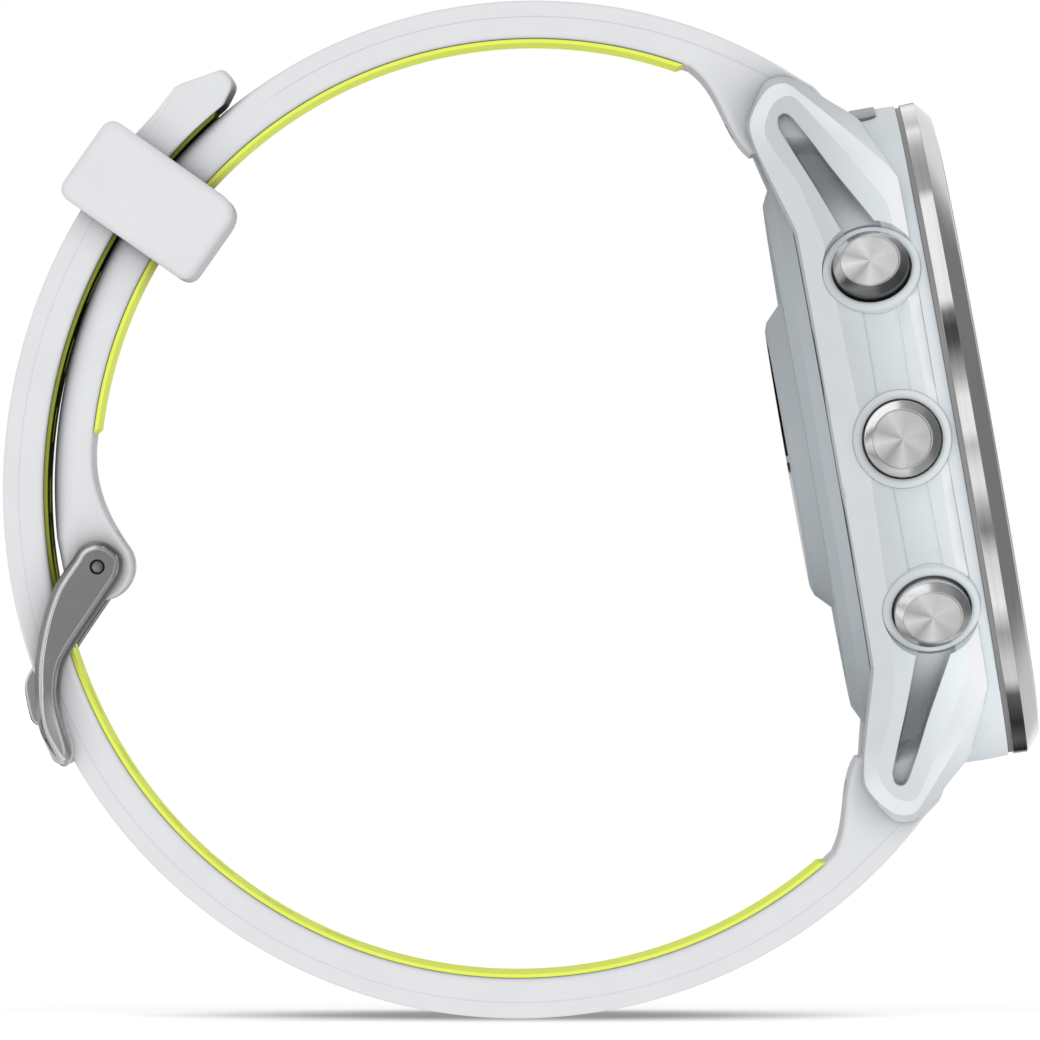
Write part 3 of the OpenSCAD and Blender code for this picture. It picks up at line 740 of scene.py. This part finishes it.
def cylinder(name, centre, r, y0, y1, steps=48):
    """A cylinder along y about a point of the loop's plane."""
    return prism(name, arc(centre, r, 0, 360 - 360 / steps, steps - 1), [(y0, 0), (y1, 0)], along_y)


def bore_cutter(name, centre):
    return cylinder(name, centre, BORE_R, -BORE_HALF, BORE_HALF)


def latch_cutter(side):
    """The slot under the lug bar for the release knob."""
    x0, x1, y, half = 3.9, 8.1, side * LUG_Y, 0.55
    box = [(x0, y - half), (x1, y - half), (x1, y + half), (x0, y + half)]
    made = prism("latch", box, [(-6, 0), (LUG_Z - 0.2, 0)])
    made.data.transform(Matrix.Scale(1 / MM, 4) @ CASE @ Matrix.Scale(MM, 4))
    return made


def make_short_strap():
    outer = along_strap(short_out, *SHORT_OUTER)
    bulge = arc(PIN, BULGE_R, 190, 392, 34)
    inner_top = spot(short_in(171) + LINER_T, 171)
    start = bulge[-1]
    waist = bezier(start, (start[0] - 1.15, start[1] + 1.6), (inner_top[0] - 0.35, inner_top[1] - 3.4),
                   inner_top, 14)[1:]
    inner = along_strap(lambda a: short_in(a) + LINER_T, *SHORT_INNER)
    end = lug_end(1)
    outline = outer + bulge + waist + inner + end
    rest = len(outline) - len(outer)
    share = [1] * len(outer) + [0.3] * (len(bulge) + len(waist)) + [0] * (len(inner) + len(end))
    covered = [ease((a - 120) / 12) for a in angles(*SHORT_OUTER)] + [0] * rest
    layers = strap_layers(eased_weights(share), eased_weights(covered), [0] * len(outline))
    strap = prism("short_strap", outline, layers, along_y)
    mouth = [(PIN[0] + x, PIN[1] + z) for x, z in [(-5, -6), (5, -6), (5, 2.6), (-5, 2.6)]]
    combine(strap, [bore_cutter("bore", case_pt(LUG_Y, LUG_Z)), bore_cutter("pin_bore", PIN),
                    prism("mouth", mouth, [(-1.6, 0), (1.6, 0)], along_y), latch_cutter(1)])
    dress(strap, "watch", "strap_silicone", SHADED_COVERED_SILICONE, "strap_short", soft=True, sharp=40)


def liner_band(name, radius, a0, a1, width):
    """A stretch of liner, its ends cut back on the inner face."""
    face = along_strap(radius, a0 + 0.7, a1 - 0.7)
    seat = along_strap(lambda a: radius(a) + LINER_T, a1, a0)
    half = width / 2
    layers = [(-half, 0.03), (-half + 0.06, 0), (0, 0), (half - 0.06, 0), (half, 0.03)]
    return prism(name, face + seat, layers, along_y)


def make_liners():
    """The short strap's liner, and the long one's, which is narrower where the straps overlap."""
    short = liner_band("short_liner", short_in, *SHORT_LINER, LINER_W)
    dress(short, "watch", "liner_silicone", LINER, "strap_short_liner", soft=True)
    start, end = LONG_LINER
    parts = [combine(liner_band("part", long_in, a0, a1, w), hole_cutters())
             for a0, a1, w in [(start, OVERLAP_END, LINER_W - 2.4), (OVERLAP_END + 0.1, end, LINER_W)]]
    long = joined("long_liner", parts)
    dress(long, "watch", "liner_silicone", LINER, "strap_long_liner", soft=True)
    for liner in (short, long):     # the liner's strong colour stays off its neighbours
        liner.visible_diffuse = liner.visible_glossy = False


def hole_cutters():
    """Round-ended holes, and the one in use, which leans with the tongue that passes through it."""
    lean = [spot(*p) for p in [(31.3, 188.2), (33.3, 189.3), (36.6, 193.2), (38.3, 195.2), (38.3, 201.4),
                               (36.4, 201), (34.4, 199), (31.5, 194.6)]]
    half = [(1.2, 0), (1.45, 0.08), (1.6, 0.3)]
    used = prism("used", lean, [(-y, d) for y, d in reversed(half)] + half, along_y)
    return [used] + [slot_cutter(HOLE_ANGLE + k * HOLE_STEP) for k in range(-6, 7) if k]


def long_outline(y):
    """The long strap's side at y: its tail's corners are rounded in plan."""
    over = max(0, abs(y) - STRAP_W / 2 + TAIL_CORNER) / TAIL_CORNER
    back = 0.25 * TAIL_CORNER * (1 - sqrt(1 - over * over * 0.999))
    shift = degrees(back / 37)

    def late(a):
        return a + shift * ease((150 - a) / 20)

    outer = [spot(long_out(late(a)), late(a)) for a in angles(*LONG_OUTER)]
    tail = fillet([spot(38.62, 128.8), (*spot(38.55, 128.2), 0.35), (*spot(37.7, 123.9), 0.6),
                   (*spot(36.35, 123.5), 1.1), (*spot(35.55, 125.9), 0.6), spot(35.5, 127.4)], 6,
                  closed=False)
    turn = radians(shift)
    tail = [(x * cos(turn) - z * sin(turn), x * sin(turn) + z * cos(turn)) for x, z in tail]
    inner = [spot(long_in(late(a)) + LINER_T, late(a)) for a in angles(*LONG_INNER)]
    return outer + tail + inner + lug_end(-1)


def make_long_strap():
    outer, inner, end = len(angles(*LONG_OUTER)), len(angles(*LONG_INNER)), len(lug_end(-1))
    tail = len(long_outline(0)) - outer - inner - end
    share = [1] * outer + [0.5] * tail + [0] * (inner + end)
    fine = [0] * (outer - 2) + [0.65] * (tail + 4) + [0] * (inner + end - 2)
    layers = strap_layers(eased_weights(share), [0] * len(share), eased_weights(fine, 4))
    strap = prism("long_strap", long_outline, layers, along_y)
    combine(strap, [bore_cutter("bore", case_pt(-LUG_Y, LUG_Z)), latch_cutter(-1)] + hole_cutters())
    dress(strap, "watch", "strap_silicone", SILICONE, "strap_long", soft=True, sharp=40)


def make_keeper():
    """A rounded band; its own frame has x outwards, y across the strap and z along it."""
    half_l, half_w = 3.3, STRAP_W / 2 + 2.2
    outline = fillet([(-5.7, -half_l, 1.75), (5.7, -half_l, 1.1), (5.7, half_l, 1.1), (-5.7, half_l, 1.1)], 8)
    band = prism("keeper", outline, rounding(half_w, 0.75, 6), along_y)
    room_y = STRAP_W / 2 + 0.3
    room = rounded_box(-2.95, -room_y, 4.0, room_y, 0.9)
    lips = [(-half_l - 0.5, -0.35), (-half_l, -0.3), (-half_l + 0.15, -0.1), (-half_l + 0.4, 0)]
    combine(band, [prism("room", room, lips + [(-z, d) for z, d in reversed(lips)])])
    out, along = (cos(KEEPER_A), sin(KEEPER_A)), (-sin(KEEPER_A), cos(KEEPER_A))
    place = Matrix(((out[0], 0, along[0], KEEPER_C[0] * MM), (0, 1, 0, 0),
                    (out[1], 0, along[1], KEEPER_C[1] * MM), (0, 0, 0, 1)))
    dress(band, "keeper", "strap_silicone", SILICONE, "keeper_loop", at=place, soft=True)


# ---- buckle ----
PIN_PLACE = Matrix.Translation((PIN[0] * MM, 0, PIN[1] * MM))


def about_pin(r, a):
    """A point given round the loop's centre, measured from the buckle's pin."""
    x, z = spot(r, a)
    return (x - PIN[0], z - PIN[1])


def arm_outline():
    crown = arc((0, 0), 1.83, 50, 160, 5)
    sides = [(-2.3, -0.2), (-3.06, -1.43), (-3.7, -3.15), (-4.13, -4.96), (-4.4, -6.8), (-4.42, -8.8),
             (-4.3, -10.66), (-4.0, -11.8), (-3.5, -12.75), (-3.0, -13.55), (-2.45, -14.12), (-1.95, -13.9),
             (-1.7, -13.2), (-1.75, -12.6), (-2.08, -11.4), (-2.38, -10.3), (-2.57, -9.2), (-2.55, -8.1),
             (-2.3, -6.9), (-1.66, -5.7), (-0.5, -3.95), (0.92, -1.86), (1.6, -0.8), (1.86, 0.2), (1.7, 0.9)]
    anchors = crown + sides
    return flow(anchors + [anchors[0]], [5] * len(anchors), closed=True)


def buckle_paint(centre, normal):
    """Painted highlights: the sloping rims round the arms take a bright copy of the steel."""
    return 1 if 0.6 < abs(normal.y) < 0.93 and abs(centre.y) > ARM_Y else 0


def make_buckle():
    rim = [(0, 0.62), (0.07, 0.5), (0.17, 0.4), (0.27, 0.31), (0.4, 0.22), (0.6, 0.1), (0.85, 0.02),
           (1.05, 0)]
    inner = [(1.4, 0), (1.52, 0.05), (ARM_T, 0.16)]

    def bend(sign):
        def place(a, b, c):
            low = min(1, max(0, (-8.2 - b) / 5.6))
            return (a, sign * (ARM_Y + (ARM_T - c) * (1 - 0.5 * low * low)), b)
        return place

    side = arm_outline()
    arms = [prism("arm", side, rim + inner, bend(sign)) for sign in (-1, 1)]
    corners = [(36.45, 205.2, 0.25), (37.4, 205.0, 0.4), (37.5, 208.3, 0.5), (37.2, 209.0, 0.35),
               (36.5, 208.8, 0.35)]
    bar = fillet([(*about_pin(r, a), corner) for r, a, corner in corners], 5)
    crossbar = prism("crossbar", bar, [(-ARM_Y - 0.5, 0), (ARM_Y + 0.5, 0)], along_y)
    buckle = combine(crossbar, arms, "UNION")
    buckle.name = "buckle"
    combine(buckle, [cylinder("pin_bore", (0, 0), 0.54, -14, 14)])
    dress(buckle, "buckle", "buckle_steel", [LIT_END_ARM_SATIN, HIGHLIGHT_RIM_STEEL], "buckle_frame", at=PIN_PLACE, soft=True,
          sharp=50, paint=buckle_paint)


def make_pin():
    end = ARM_Y + ARM_T - 0.05
    dome = [(0.0, end), (0.2, end - 0.01), (0.34, end - 0.04), (0.44, end - 0.11), (0.49, end - 0.22)]
    half = [(0.49, 11.02), (0.75, 11.0)]
    profile = dome + half + [(r, -z) for r, z in reversed(half)] + [(r, -z) for r, z in reversed(dome)]
    pin = revolve("pin", profile, 48)
    moved(pin, Matrix.Rotation(pi / 2, 4, "X"))
    dress(pin, "buckle", "buckle_steel", SATIN, "buckle_pin", at=PIN_PLACE)


def make_tongue():
    anchors = [(30.8, 186), (32.2, 189), (33.5, 192.8), (34.9, 195.7), (36.5, 197.9), (37.2, 199),
               (37.5, 200), (37.7, 201.5), (37.85, 203.2), (37.6, 204), (36.95, 203.7), (36.75, 202.3),
               (36.3, 200.9), (35.2, 199.5), (33.8, 197.4), (32.4, 195), (31.2, 192.2), (30.2, 190)]
    outline = flow([about_pin(*p) for p in anchors + [anchors[0]]], [3] * len(anchors), closed=True)
    blade = prism("tongue", outline, rounding(1.3, 0.28, 4), along_y)
    eye = prism("eye", arc((0, 0), 1.5, 0, 352.5, 47), rounding(1.3, 0.25, 4), along_y)
    tongue = combine(blade, [eye], "UNION")
    combine(tongue, [cylinder("pin_bore", (0, 0), 0.8, -3, 3)])
    # painted highlight: the tongue's sloping rims take the bright rim steel
    dress(tongue, "tongue", "buckle_steel", [TONGUE_STEEL, HIGHLIGHT_RIM_STEEL], "buckle_tongue", at=PIN_PLACE,
          soft=True, paint=lambda c, n: 1 if 0.3 < abs(n.y) < 0.95 else 0)


# ---- case ----
RAIL_R = 23.15      # the rail's flat, in plan, at the middle of the side
PANEL_DIP = 0.55    # how far the rail sinks between the buttons
BODY_SQUEEZE = 0.975    # the case body is a little narrower across than it is long


def rail_x(u):
    """Plan of a rail: a circle, then its tangent to the lug's tip."""
    tip_y = LUG_Y + LUG_R + 1
    t = atan2(tip_y, LUG_X) - acos(RAIL_R / hypot(LUG_X, tip_y))
    ux, uy = RAIL_R * cos(t), RAIL_R * sin(t)
    u = abs(u)
    if u < uy:
        return sqrt(RAIL_R ** 2 - u * u) - PANEL_DIP * ease((u - 2.9) / 1.4) * (1 - ease((u - 9.2) / 1.2))
    return ux + (LUG_X - ux) * (u - uy) / (tip_y - uy)


# Contours of a rail, from the middle of its back edge round the lug's tip to the middle of its front edge:
# the foot of its side wall, the wall's top, the inner edge of the white bevel, and the edge of the recess
FOOT = [(0, 1.67), (15.6, 1.67), (19.8, 0.51), (23.7, -0.34), (26.5, 1.5), (26.75, 2.75), (26.3, 3.75),
        (24.5, 5.73), (22.6, 7.7), (18.2, 9.6), (0, 9.5)]
WALL = [(0, 1.85), (15.6, 1.85), (19.8, 0.65), (23.7, -0.1), (26.0, 1.6), (26.2, 2.9), (25.3, 3.89),
        (21.8, 6.92), (19.2, 8.96), (18.2, 9.52), (0, 9.44)]
EDGE = [(0, 3.95), (14.9, 3.5), (19.2, 2.5), (22.9, 0.84), (24.9, 1.8), (25.3, 2.9), (24.9, 3.52),
        (21.4, 5.76), (18, 7.73), (16.4, 8.5), (0, 8.87)]
RECESS = [(0, 5.18), (13.8, 5.31), (18.9, 3.49), (23.1, 1.83), (23.95, 1.95), (24.15, 2.5), (23.8, 2.95),
          (21.9, 4.0), (19.7, 5.1), (14.3, 7.96), (0, 7.75)]
SPANS = [22, 8, 8, 6, 5, 5, 6, 8, 8, 22]
WALL_LINE, EDGE_LINE, RECESS_LINE = (flow(contour, SPANS) for contour in (WALL, EDGE, RECESS))


def recess_depth(u):
    """Depth of the recess's floor: shallow between the buttons and at the lugs' tips, deep in between."""
    u = abs(u)
    deep = 0.1 + 0.4 * ease((u - 12.6) / 2) + 2.5 * ease((u - 15) / 4.6)
    return deep - 2.25 * ease((u - 20.6) / 1.9)


def rail_ring(contour, depth):
    """A closed ring of 3-D points on a contour; depth is how far under the rail's plan it lies."""
    half = flow(contour, SPANS)
    ring = half + [(-u, z) for u, z in reversed(half[1:-1])]
    return [(rail_x(u) - depth(i if i < len(half) else len(ring) - i), u, z) for i, (u, z) in enumerate(ring)]


def blend_ring(a, b, t):
    return [mix(p, q, t) for p, q in zip(a, b)]


def inset_ring(ring, amount):
    flat = [(p[1], p[2]) for p in ring]
    return [(p[0], p[1] - n[0] * amount, p[2] - n[1] * amount) for p, n in zip(ring, normals(flat))]


def by_anchor(values):
    """Values at the contour's anchors, spread over its points."""
    spread_out = []
    for i, count in enumerate(SPANS):
        spread_out += [values[i] + (values[i + 1] - values[i]) * k / count for k in range(count)]
    return spread_out + [values[-1]]


def rail_rings():
    """Rings of a rail's skin, from the gap behind it over its foot, wall and bevel to the recess's floor."""
    wall_depth = by_anchor([1.0] * 7 + [0.95, 0.6, 0.32, 0.3])
    foot_depth = by_anchor([2.5, 2.5, 2.6, 2.3, 2.3, 2.3, 2.4, 2.6, 2.4, 0.6, 0.45])
    foot, edge, recess = (rail_ring(contour, lambda i: 0) for contour in (FOOT, EDGE, RECESS))
    back = [(GAP_X, y, z) for _, y, z in inset_ring(foot, 0.08)]
    lip = [(GAP_X + 0.1, y, z) for _, y, z in foot]
    shin = [(max(GAP_X + 0.14, x - foot_depth[i if i < len(foot_depth) else len(foot) - i]), y, z)
            for i, (x, y, z) in enumerate(foot)]
    wall = rail_ring(WALL, lambda i: wall_depth[i])

    def sunk(inset, depth):
        return [(p[0] - depth(p[1]), *q[1:]) for p, q in zip(recess, inset_ring(recess, inset))]

    rim = sunk(0.05, lambda u: 0.03)
    gutter = sunk(0.12, lambda u: 0.16 if recess_depth(u) < 0.2 else recess_depth(u) * 0.8)
    sole = sunk(0.22, recess_depth)
    return [back, lip, shin, blend_ring(shin, wall, 0.9), wall, blend_ring(wall, edge, 0.06),
            blend_ring(wall, edge, 0.94), edge, blend_ring(edge, recess, 0.06),
            blend_ring(edge, recess, 0.94), recess, rim, gutter, sole]


def fill_recess(verts, faces, n):
    """Close the last ring, of n points, with rows of faces that follow the rail's plan."""
    half = len(RECESS_LINE) - 1
    first = len(verts) - n
    across = 5
    rows = {}
    for i in list(range(half // 2 + 1)) + list(range(n - half // 2, n)):
        j = half - i if i <= half else n - (i - half)
        a, b = verts[first + i], verts[first + j % n]
        row = [first + i]
        for k in range(1, across):
            t = k / across
            u, z = mix((a[1], a[2]), (b[1], b[2]), t)
            row.append(len(verts))
            verts.append((rail_x(u) - recess_depth(u) - 0.04 * sin(pi * t), u, z))
        rows[i] = row + [first + j % n]
    order = list(range(n - half // 2, n)) + list(range(half // 2 + 1))
    for i, j in zip(order, order[1:]):
        for k in range(across):
            faces.append((rows[i][k], rows[j][k], rows[j][k + 1], rows[i][k + 1]))


def core_cutter(cover_r, core_r):
    """The room that the back cover and the case's core take inside a rail."""
    profile = [(0, -3), (cover_r, -3), (cover_r, COVER_H), (core_r, 4.6), (core_r, 12), (0, 12)]
    return revolve("core", profile, 96)


def rail_paint(centre, normal):
    """Which finish a face of a rail takes: 1 on the bevel (painted light), 2 in a lug's recess and 3 on the
    back edge (painted shade), else 0.

    The bevel's faces lean more than 8.6 degrees from the rail's flat."""
    y, z = abs(centre.y), centre.z
    under = rail_x(y) - abs(centre.x)
    on_bevel = inside(WALL_LINE, y, z) and not inside(EDGE_LINE, y, z)
    if abs(normal.x) < cos(radians(8.6)) and under < 1.01 and on_bevel:
        return 1
    if normal.z < -0.8 and z < 2.3:
        return 3
    return 2 if under > 0.25 and y > 13 and inside(RECESS_LINE, y, z) else 0


def make_rail(hand, side, buttons):
    rings = rail_rings()
    verts, faces = skin(rings, caps=False)
    n = len(rings[0])
    faces.append(tuple(range(n)))
    fill_recess(verts, faces, n)
    rail = combine(solid(hand + "_rail", verts, faces), [core_cutter(COVER_R + 0.05, CORE_R)])
    if side < 0:
        moved(rail, Matrix.Scale(-1, 4, (1, 0, 0)))
    combine(rail, [button_cutter(a) for a in buttons])
    dress(rail, "watch", "case_polymer", [POLYMER, LIT_BEVEL_POLYMER, SHADED_RECESS_POLYMER, SHADED_BACK_EDGE_POLYMER],
          "side_rail_" + hand, at=CASE, soft=True, paint=rail_paint, sharp=50)


def inside(outline, u, z):
    """Whether a point is inside half an outline, closed along u = 0."""
    hit = False
    for i in range(len(outline)):
        (u0, z0), (u1, z1) = outline[i - 1], outline[i]
        if (z0 > z) != (z1 > z) and u < u0 + (u1 - u0) * (z - z0) / (z1 - z0):
            hit = not hit
    return hit


def button_cutter(a):
    """A collar's pocket and a stem's bore."""
    bore, pocket, far = 1.15, 3.5, 27
    profile = [(0, 17), (bore, 17), (bore, COLLAR_FLOOR), (pocket, COLLAR_FLOOR), (pocket, far), (0, far)]
    return moved(revolve("cutter", profile, 72), on_radius(a))


def rail_room(side):
    """The room that a rail takes out of the case body."""
    outline = flow(FOOT, SPANS)
    outline = outline + [(-u, z) for u, z in reversed(outline[1:-1])]
    slab = prism("room", outline, [(GAP_X + 0.05, 0.04), (27, 0.04)], lambda a, b, c: (side * c, a, b))
    return combine(slab, [core_cutter(COVER_R, CORE_R - 0.05)])


def make_case_body():
    profile = fillet([(20.2, COVER_H), (COVER_R, COVER_H), (22.4, 3.4, 0.6), (23.3, 5.2, 1.2),
                      (23.46, 7.2, 1), (23.5, 8.7, 1), (23.46, SEAM_Z - 0.02, 0.08),
                      (20.2, SEAM_Z - 0.02)], 4)
    body = revolve("case_shell", profile, 224)
    body.data.transform(Matrix.Scale(BODY_SQUEEZE, 4, (1, 0, 0)))
    hubs = []
    for s in (-1, 1):
        ring = arc((s * LUG_Y, LUG_Z), LUG_R + 0.12, 0, 355, 71)
        hubs.append(prism("hub", ring, [(-GAP_X, 0), (GAP_X, 0)], lambda a, b, c: (c, a, b)))
    combine(body, [rail_room(1), rail_room(-1)] + hubs + [button_cutter(a) for a in BUTTONS.values()])
    dress(body, "watch", "case_polymer", POLYMER, "case_body", at=CASE, soft=True)


def joined(name, pieces):
    verts, faces = [], []
    for piece in pieces:
        base = len(verts)
        verts += [tuple(v.co) for v in piece.data.vertices]
        faces += [tuple(base + i for i in p.vertices) for p in piece.data.polygons]
        bpy.data.objects.remove(piece)
    return solid(name, verts, faces)


def make_collars():
    profile = fillet([(2.85, COLLAR_FLOOR), (3.48, COLLAR_FLOOR), (3.48, COLLAR_FACE + 0.02, 0.3),
                      (3.05, COLLAR_FACE + 0.1, 0.3), (2.85, COLLAR_FACE, 0.06)], 6)
    rings = [moved(revolve("collar", profile, 96), on_radius(a)) for a in BUTTONS.values()]
    dress(joined("collars", rings), "watch", "case_polymer", POLYMER, "button_collars", at=CASE)


def make_buttons():
    """Spun caps on stems; a button's own frame has z out of the case, from the middle of its face."""
    face = CAP_FACE
    profile = fillet([(0, 18.9), (1.1, 18.9), (1.1, 22.3), (2.68, 22.3), (2.7, 22.5),
                      (2.7, face - 0.42, 0.12), (2.12, face - 0.03, 0.05), (2.08, face - 0.07),
                      (2.04, face - 0.07), (1.98, face - 0.03, 0.03), (0, face - 0.03)], 4)
    for name, a in BUTTONS.items():
        cap = revolve(name + "_cap", [(r, z - face) for r, z in profile], 96)
        axis = CASE @ Matrix.Scale(MM, 4) @ on_radius(a)
        # the rim beyond 2.1 mm takes the darker copy with painted reflection
        rim = LIGHT_RIM_REFLECTION if name == "light" else CAP_RIM_REFLECTION
        dress(cap, name + "_press", "button_steel", [SPUN, rim], name + "_button",
              at=axis @ Matrix.Translation((0, 0, face)) @ Matrix.Scale(1 / MM, 4),
              paint=lambda c, n: 1 if hypot(c.x, c.y) > 2.1 else 0)


def make_bezel():
    gasket = fillet([(20.2, SEAM_Z), (23.28, SEAM_Z), (23.28, GASKET_TOP), (20.2, GASKET_TOP)], 2)
    dress(revolve("bezel_seal", gasket, 224), "watch", "seal_rubber", GASKET, "bezel_gasket", at=CASE)
    top = CASE_H
    profile = fillet([(20.2, GASKET_TOP), (23.42, GASKET_TOP, 0.05), (23.46, 11.79, 0.05),
                      (22.15, 12.87, 0.35), (20.6, top, 0.9), (19.05, top, 0.05), (19, 12.9),
                      (19, 12), (18, 12), (18, 11.6), (20.2, 11.6)], 5)
    bezel = revolve("bezel_ring", profile, 288)
    dress(bezel, "watch", "steel", [POLISHED, BRUSHED], "bezel", at=CASE,
          paint=lambda c, n: 1 if c.z > 11.82 and hypot(c.x, c.y) > 19.06 else 0, sharp=25)


def make_lens():
    top = CASE_H
    glass = fillet([(0, 12.02), (18.95, 12.02), (18.95, top - 0.03, 0.12), (17.5, top, 0.5), (0, top)], 4)
    dress(revolve("lens", glass, 160), "watch", "lens_glass", LENS, "display_glass", at=CASE)


def make_back():
    """The back cover, with its screws' holes and the charging socket."""
    profile = fillet([(9.8, 0), (18.1, 0, 0.25), (19.65, 0.75, 0.25), (COVER_R, COVER_H - 0.02, 0.05),
                      (18.3, COVER_H - 0.02), (18.3, 1.1), (9.8, 1.1)], 4)
    cover = revolve("back_plate", profile, 192)
    cutters = []
    for a in (35, 145, 215, 325):
        hole = revolve("hole", [(0, -1), (1.15, -1), (1.15, 0.55), (0.7, 0.6), (0.7, 3), (0, 3)], 40)
        cutters.append(moved(hole, Matrix.Translation((*spot(17, a), 0))))
    socket = rounded_box(-3.4, -15.9, 3.4, -13.1, 0.8)
    cutters.append(prism("socket", socket, [(-1, 0), (0.5, 0), (0.55, 0.08)]))
    combine(cover, cutters)
    dress(cover, "watch", "back_polymer", BACK_POLYMER, "back_cover", at=CASE, soft=True)


def make_sensor():
    """The sensor's hump and its two half-round panes."""
    hump = fillet([(0, -1.4), (9.25, -1.4, 0.15), (9.85, -1.2, 0.35), (11.08, 0.0), (9.75, 0), (9.75, 1.3),
                   (0, 1.3)], 5)
    housing = revolve("sensor_hump", hump, 128)
    cutters = []
    for s in (-1, 1):
        window = prism("window", half_round(8.65, s), [(-3, 0), (-0.7, 0)])
        well = solid("well", *box_mesh((-5.6, -2.9, -2), (5.6, 2.9, 3)))
        cutters += [window, moved(well, Matrix.Translation((0, s * 3.9, 0)))]
    combine(housing, cutters)
    dress(housing, "watch", "back_polymer", BACK_POLYMER, "sensor_housing", at=CASE, soft=True)
    layers = [(-1.4, 0.06), (-1.35, 0.02), (-1.3, 0), (-0.72, 0)]
    panes = [prism("pane", half_round(8.62, s), layers) for s in (-1, 1)]
    dress(joined("sensor_panes", panes), "watch", "sensor_glass", SENSOR, "sensor_glass", at=CASE, soft=True)


def half_round(r, side):
    """Half of a disc beside the sensor's rib."""
    rib = 0.23
    start = degrees(atan2(rib, r))
    return [(x, side * y) for x, y in arc((0, 0), r, start, 180 - start, 48)]


def box_mesh(low, high):
    corners = [(x, y, z) for x in (low[0], high[0]) for y in (low[1], high[1]) for z in (low[2], high[2])]
    return corners, [(0, 1, 3, 2), (4, 6, 7, 5), (0, 4, 5, 1), (2, 3, 7, 6), (0, 2, 6, 4), (1, 5, 7, 3)]


def make_torch():
    """The torch's window, a round-ended pane bent round the case at 12 o'clock."""
    profile = fillet([(22.25, 6.9), (23.66, 6.9), (23.66, 9.2), (22.25, 9.2)], 2)
    pane = revolve("torch_pane", profile, 288)
    outline = rounded_box(-5.9, 7.2, 5.9, 8.95, 0.84, 8)
    combine(pane, [prism("pill", outline, [(15, 0), (30, 0)], along_y)], "INTERSECT")
    dress(pane, "watch", "torch_glass", TORCH, "torch_window", at=CASE, soft=True)


make_short_strap()
make_long_strap()
make_liners()
make_keeper()
make_buckle()
make_pin()
make_tongue()
make_rail("left", -1, [BUTTONS[n] for n in ("light", "up", "down")])
make_rail("right", 1, [BUTTONS[n] for n in ("start", "back")])
make_case_body()
make_collars()
make_buttons()
make_bezel()
make_lens()
make_back()
make_sensor()
make_torch()

# CAD nodes that show as they are take their slot's finish
slot_of_node = {part["node"]: part["material_slot"] for part in frame["record"]["subparts"]}
for name, part in frame["nodes"].items():
    if not part.hide_render:
        part.data.materials.clear()
        part.data.materials.append(FINISH_OF_SLOT[slot_of_node[name]])
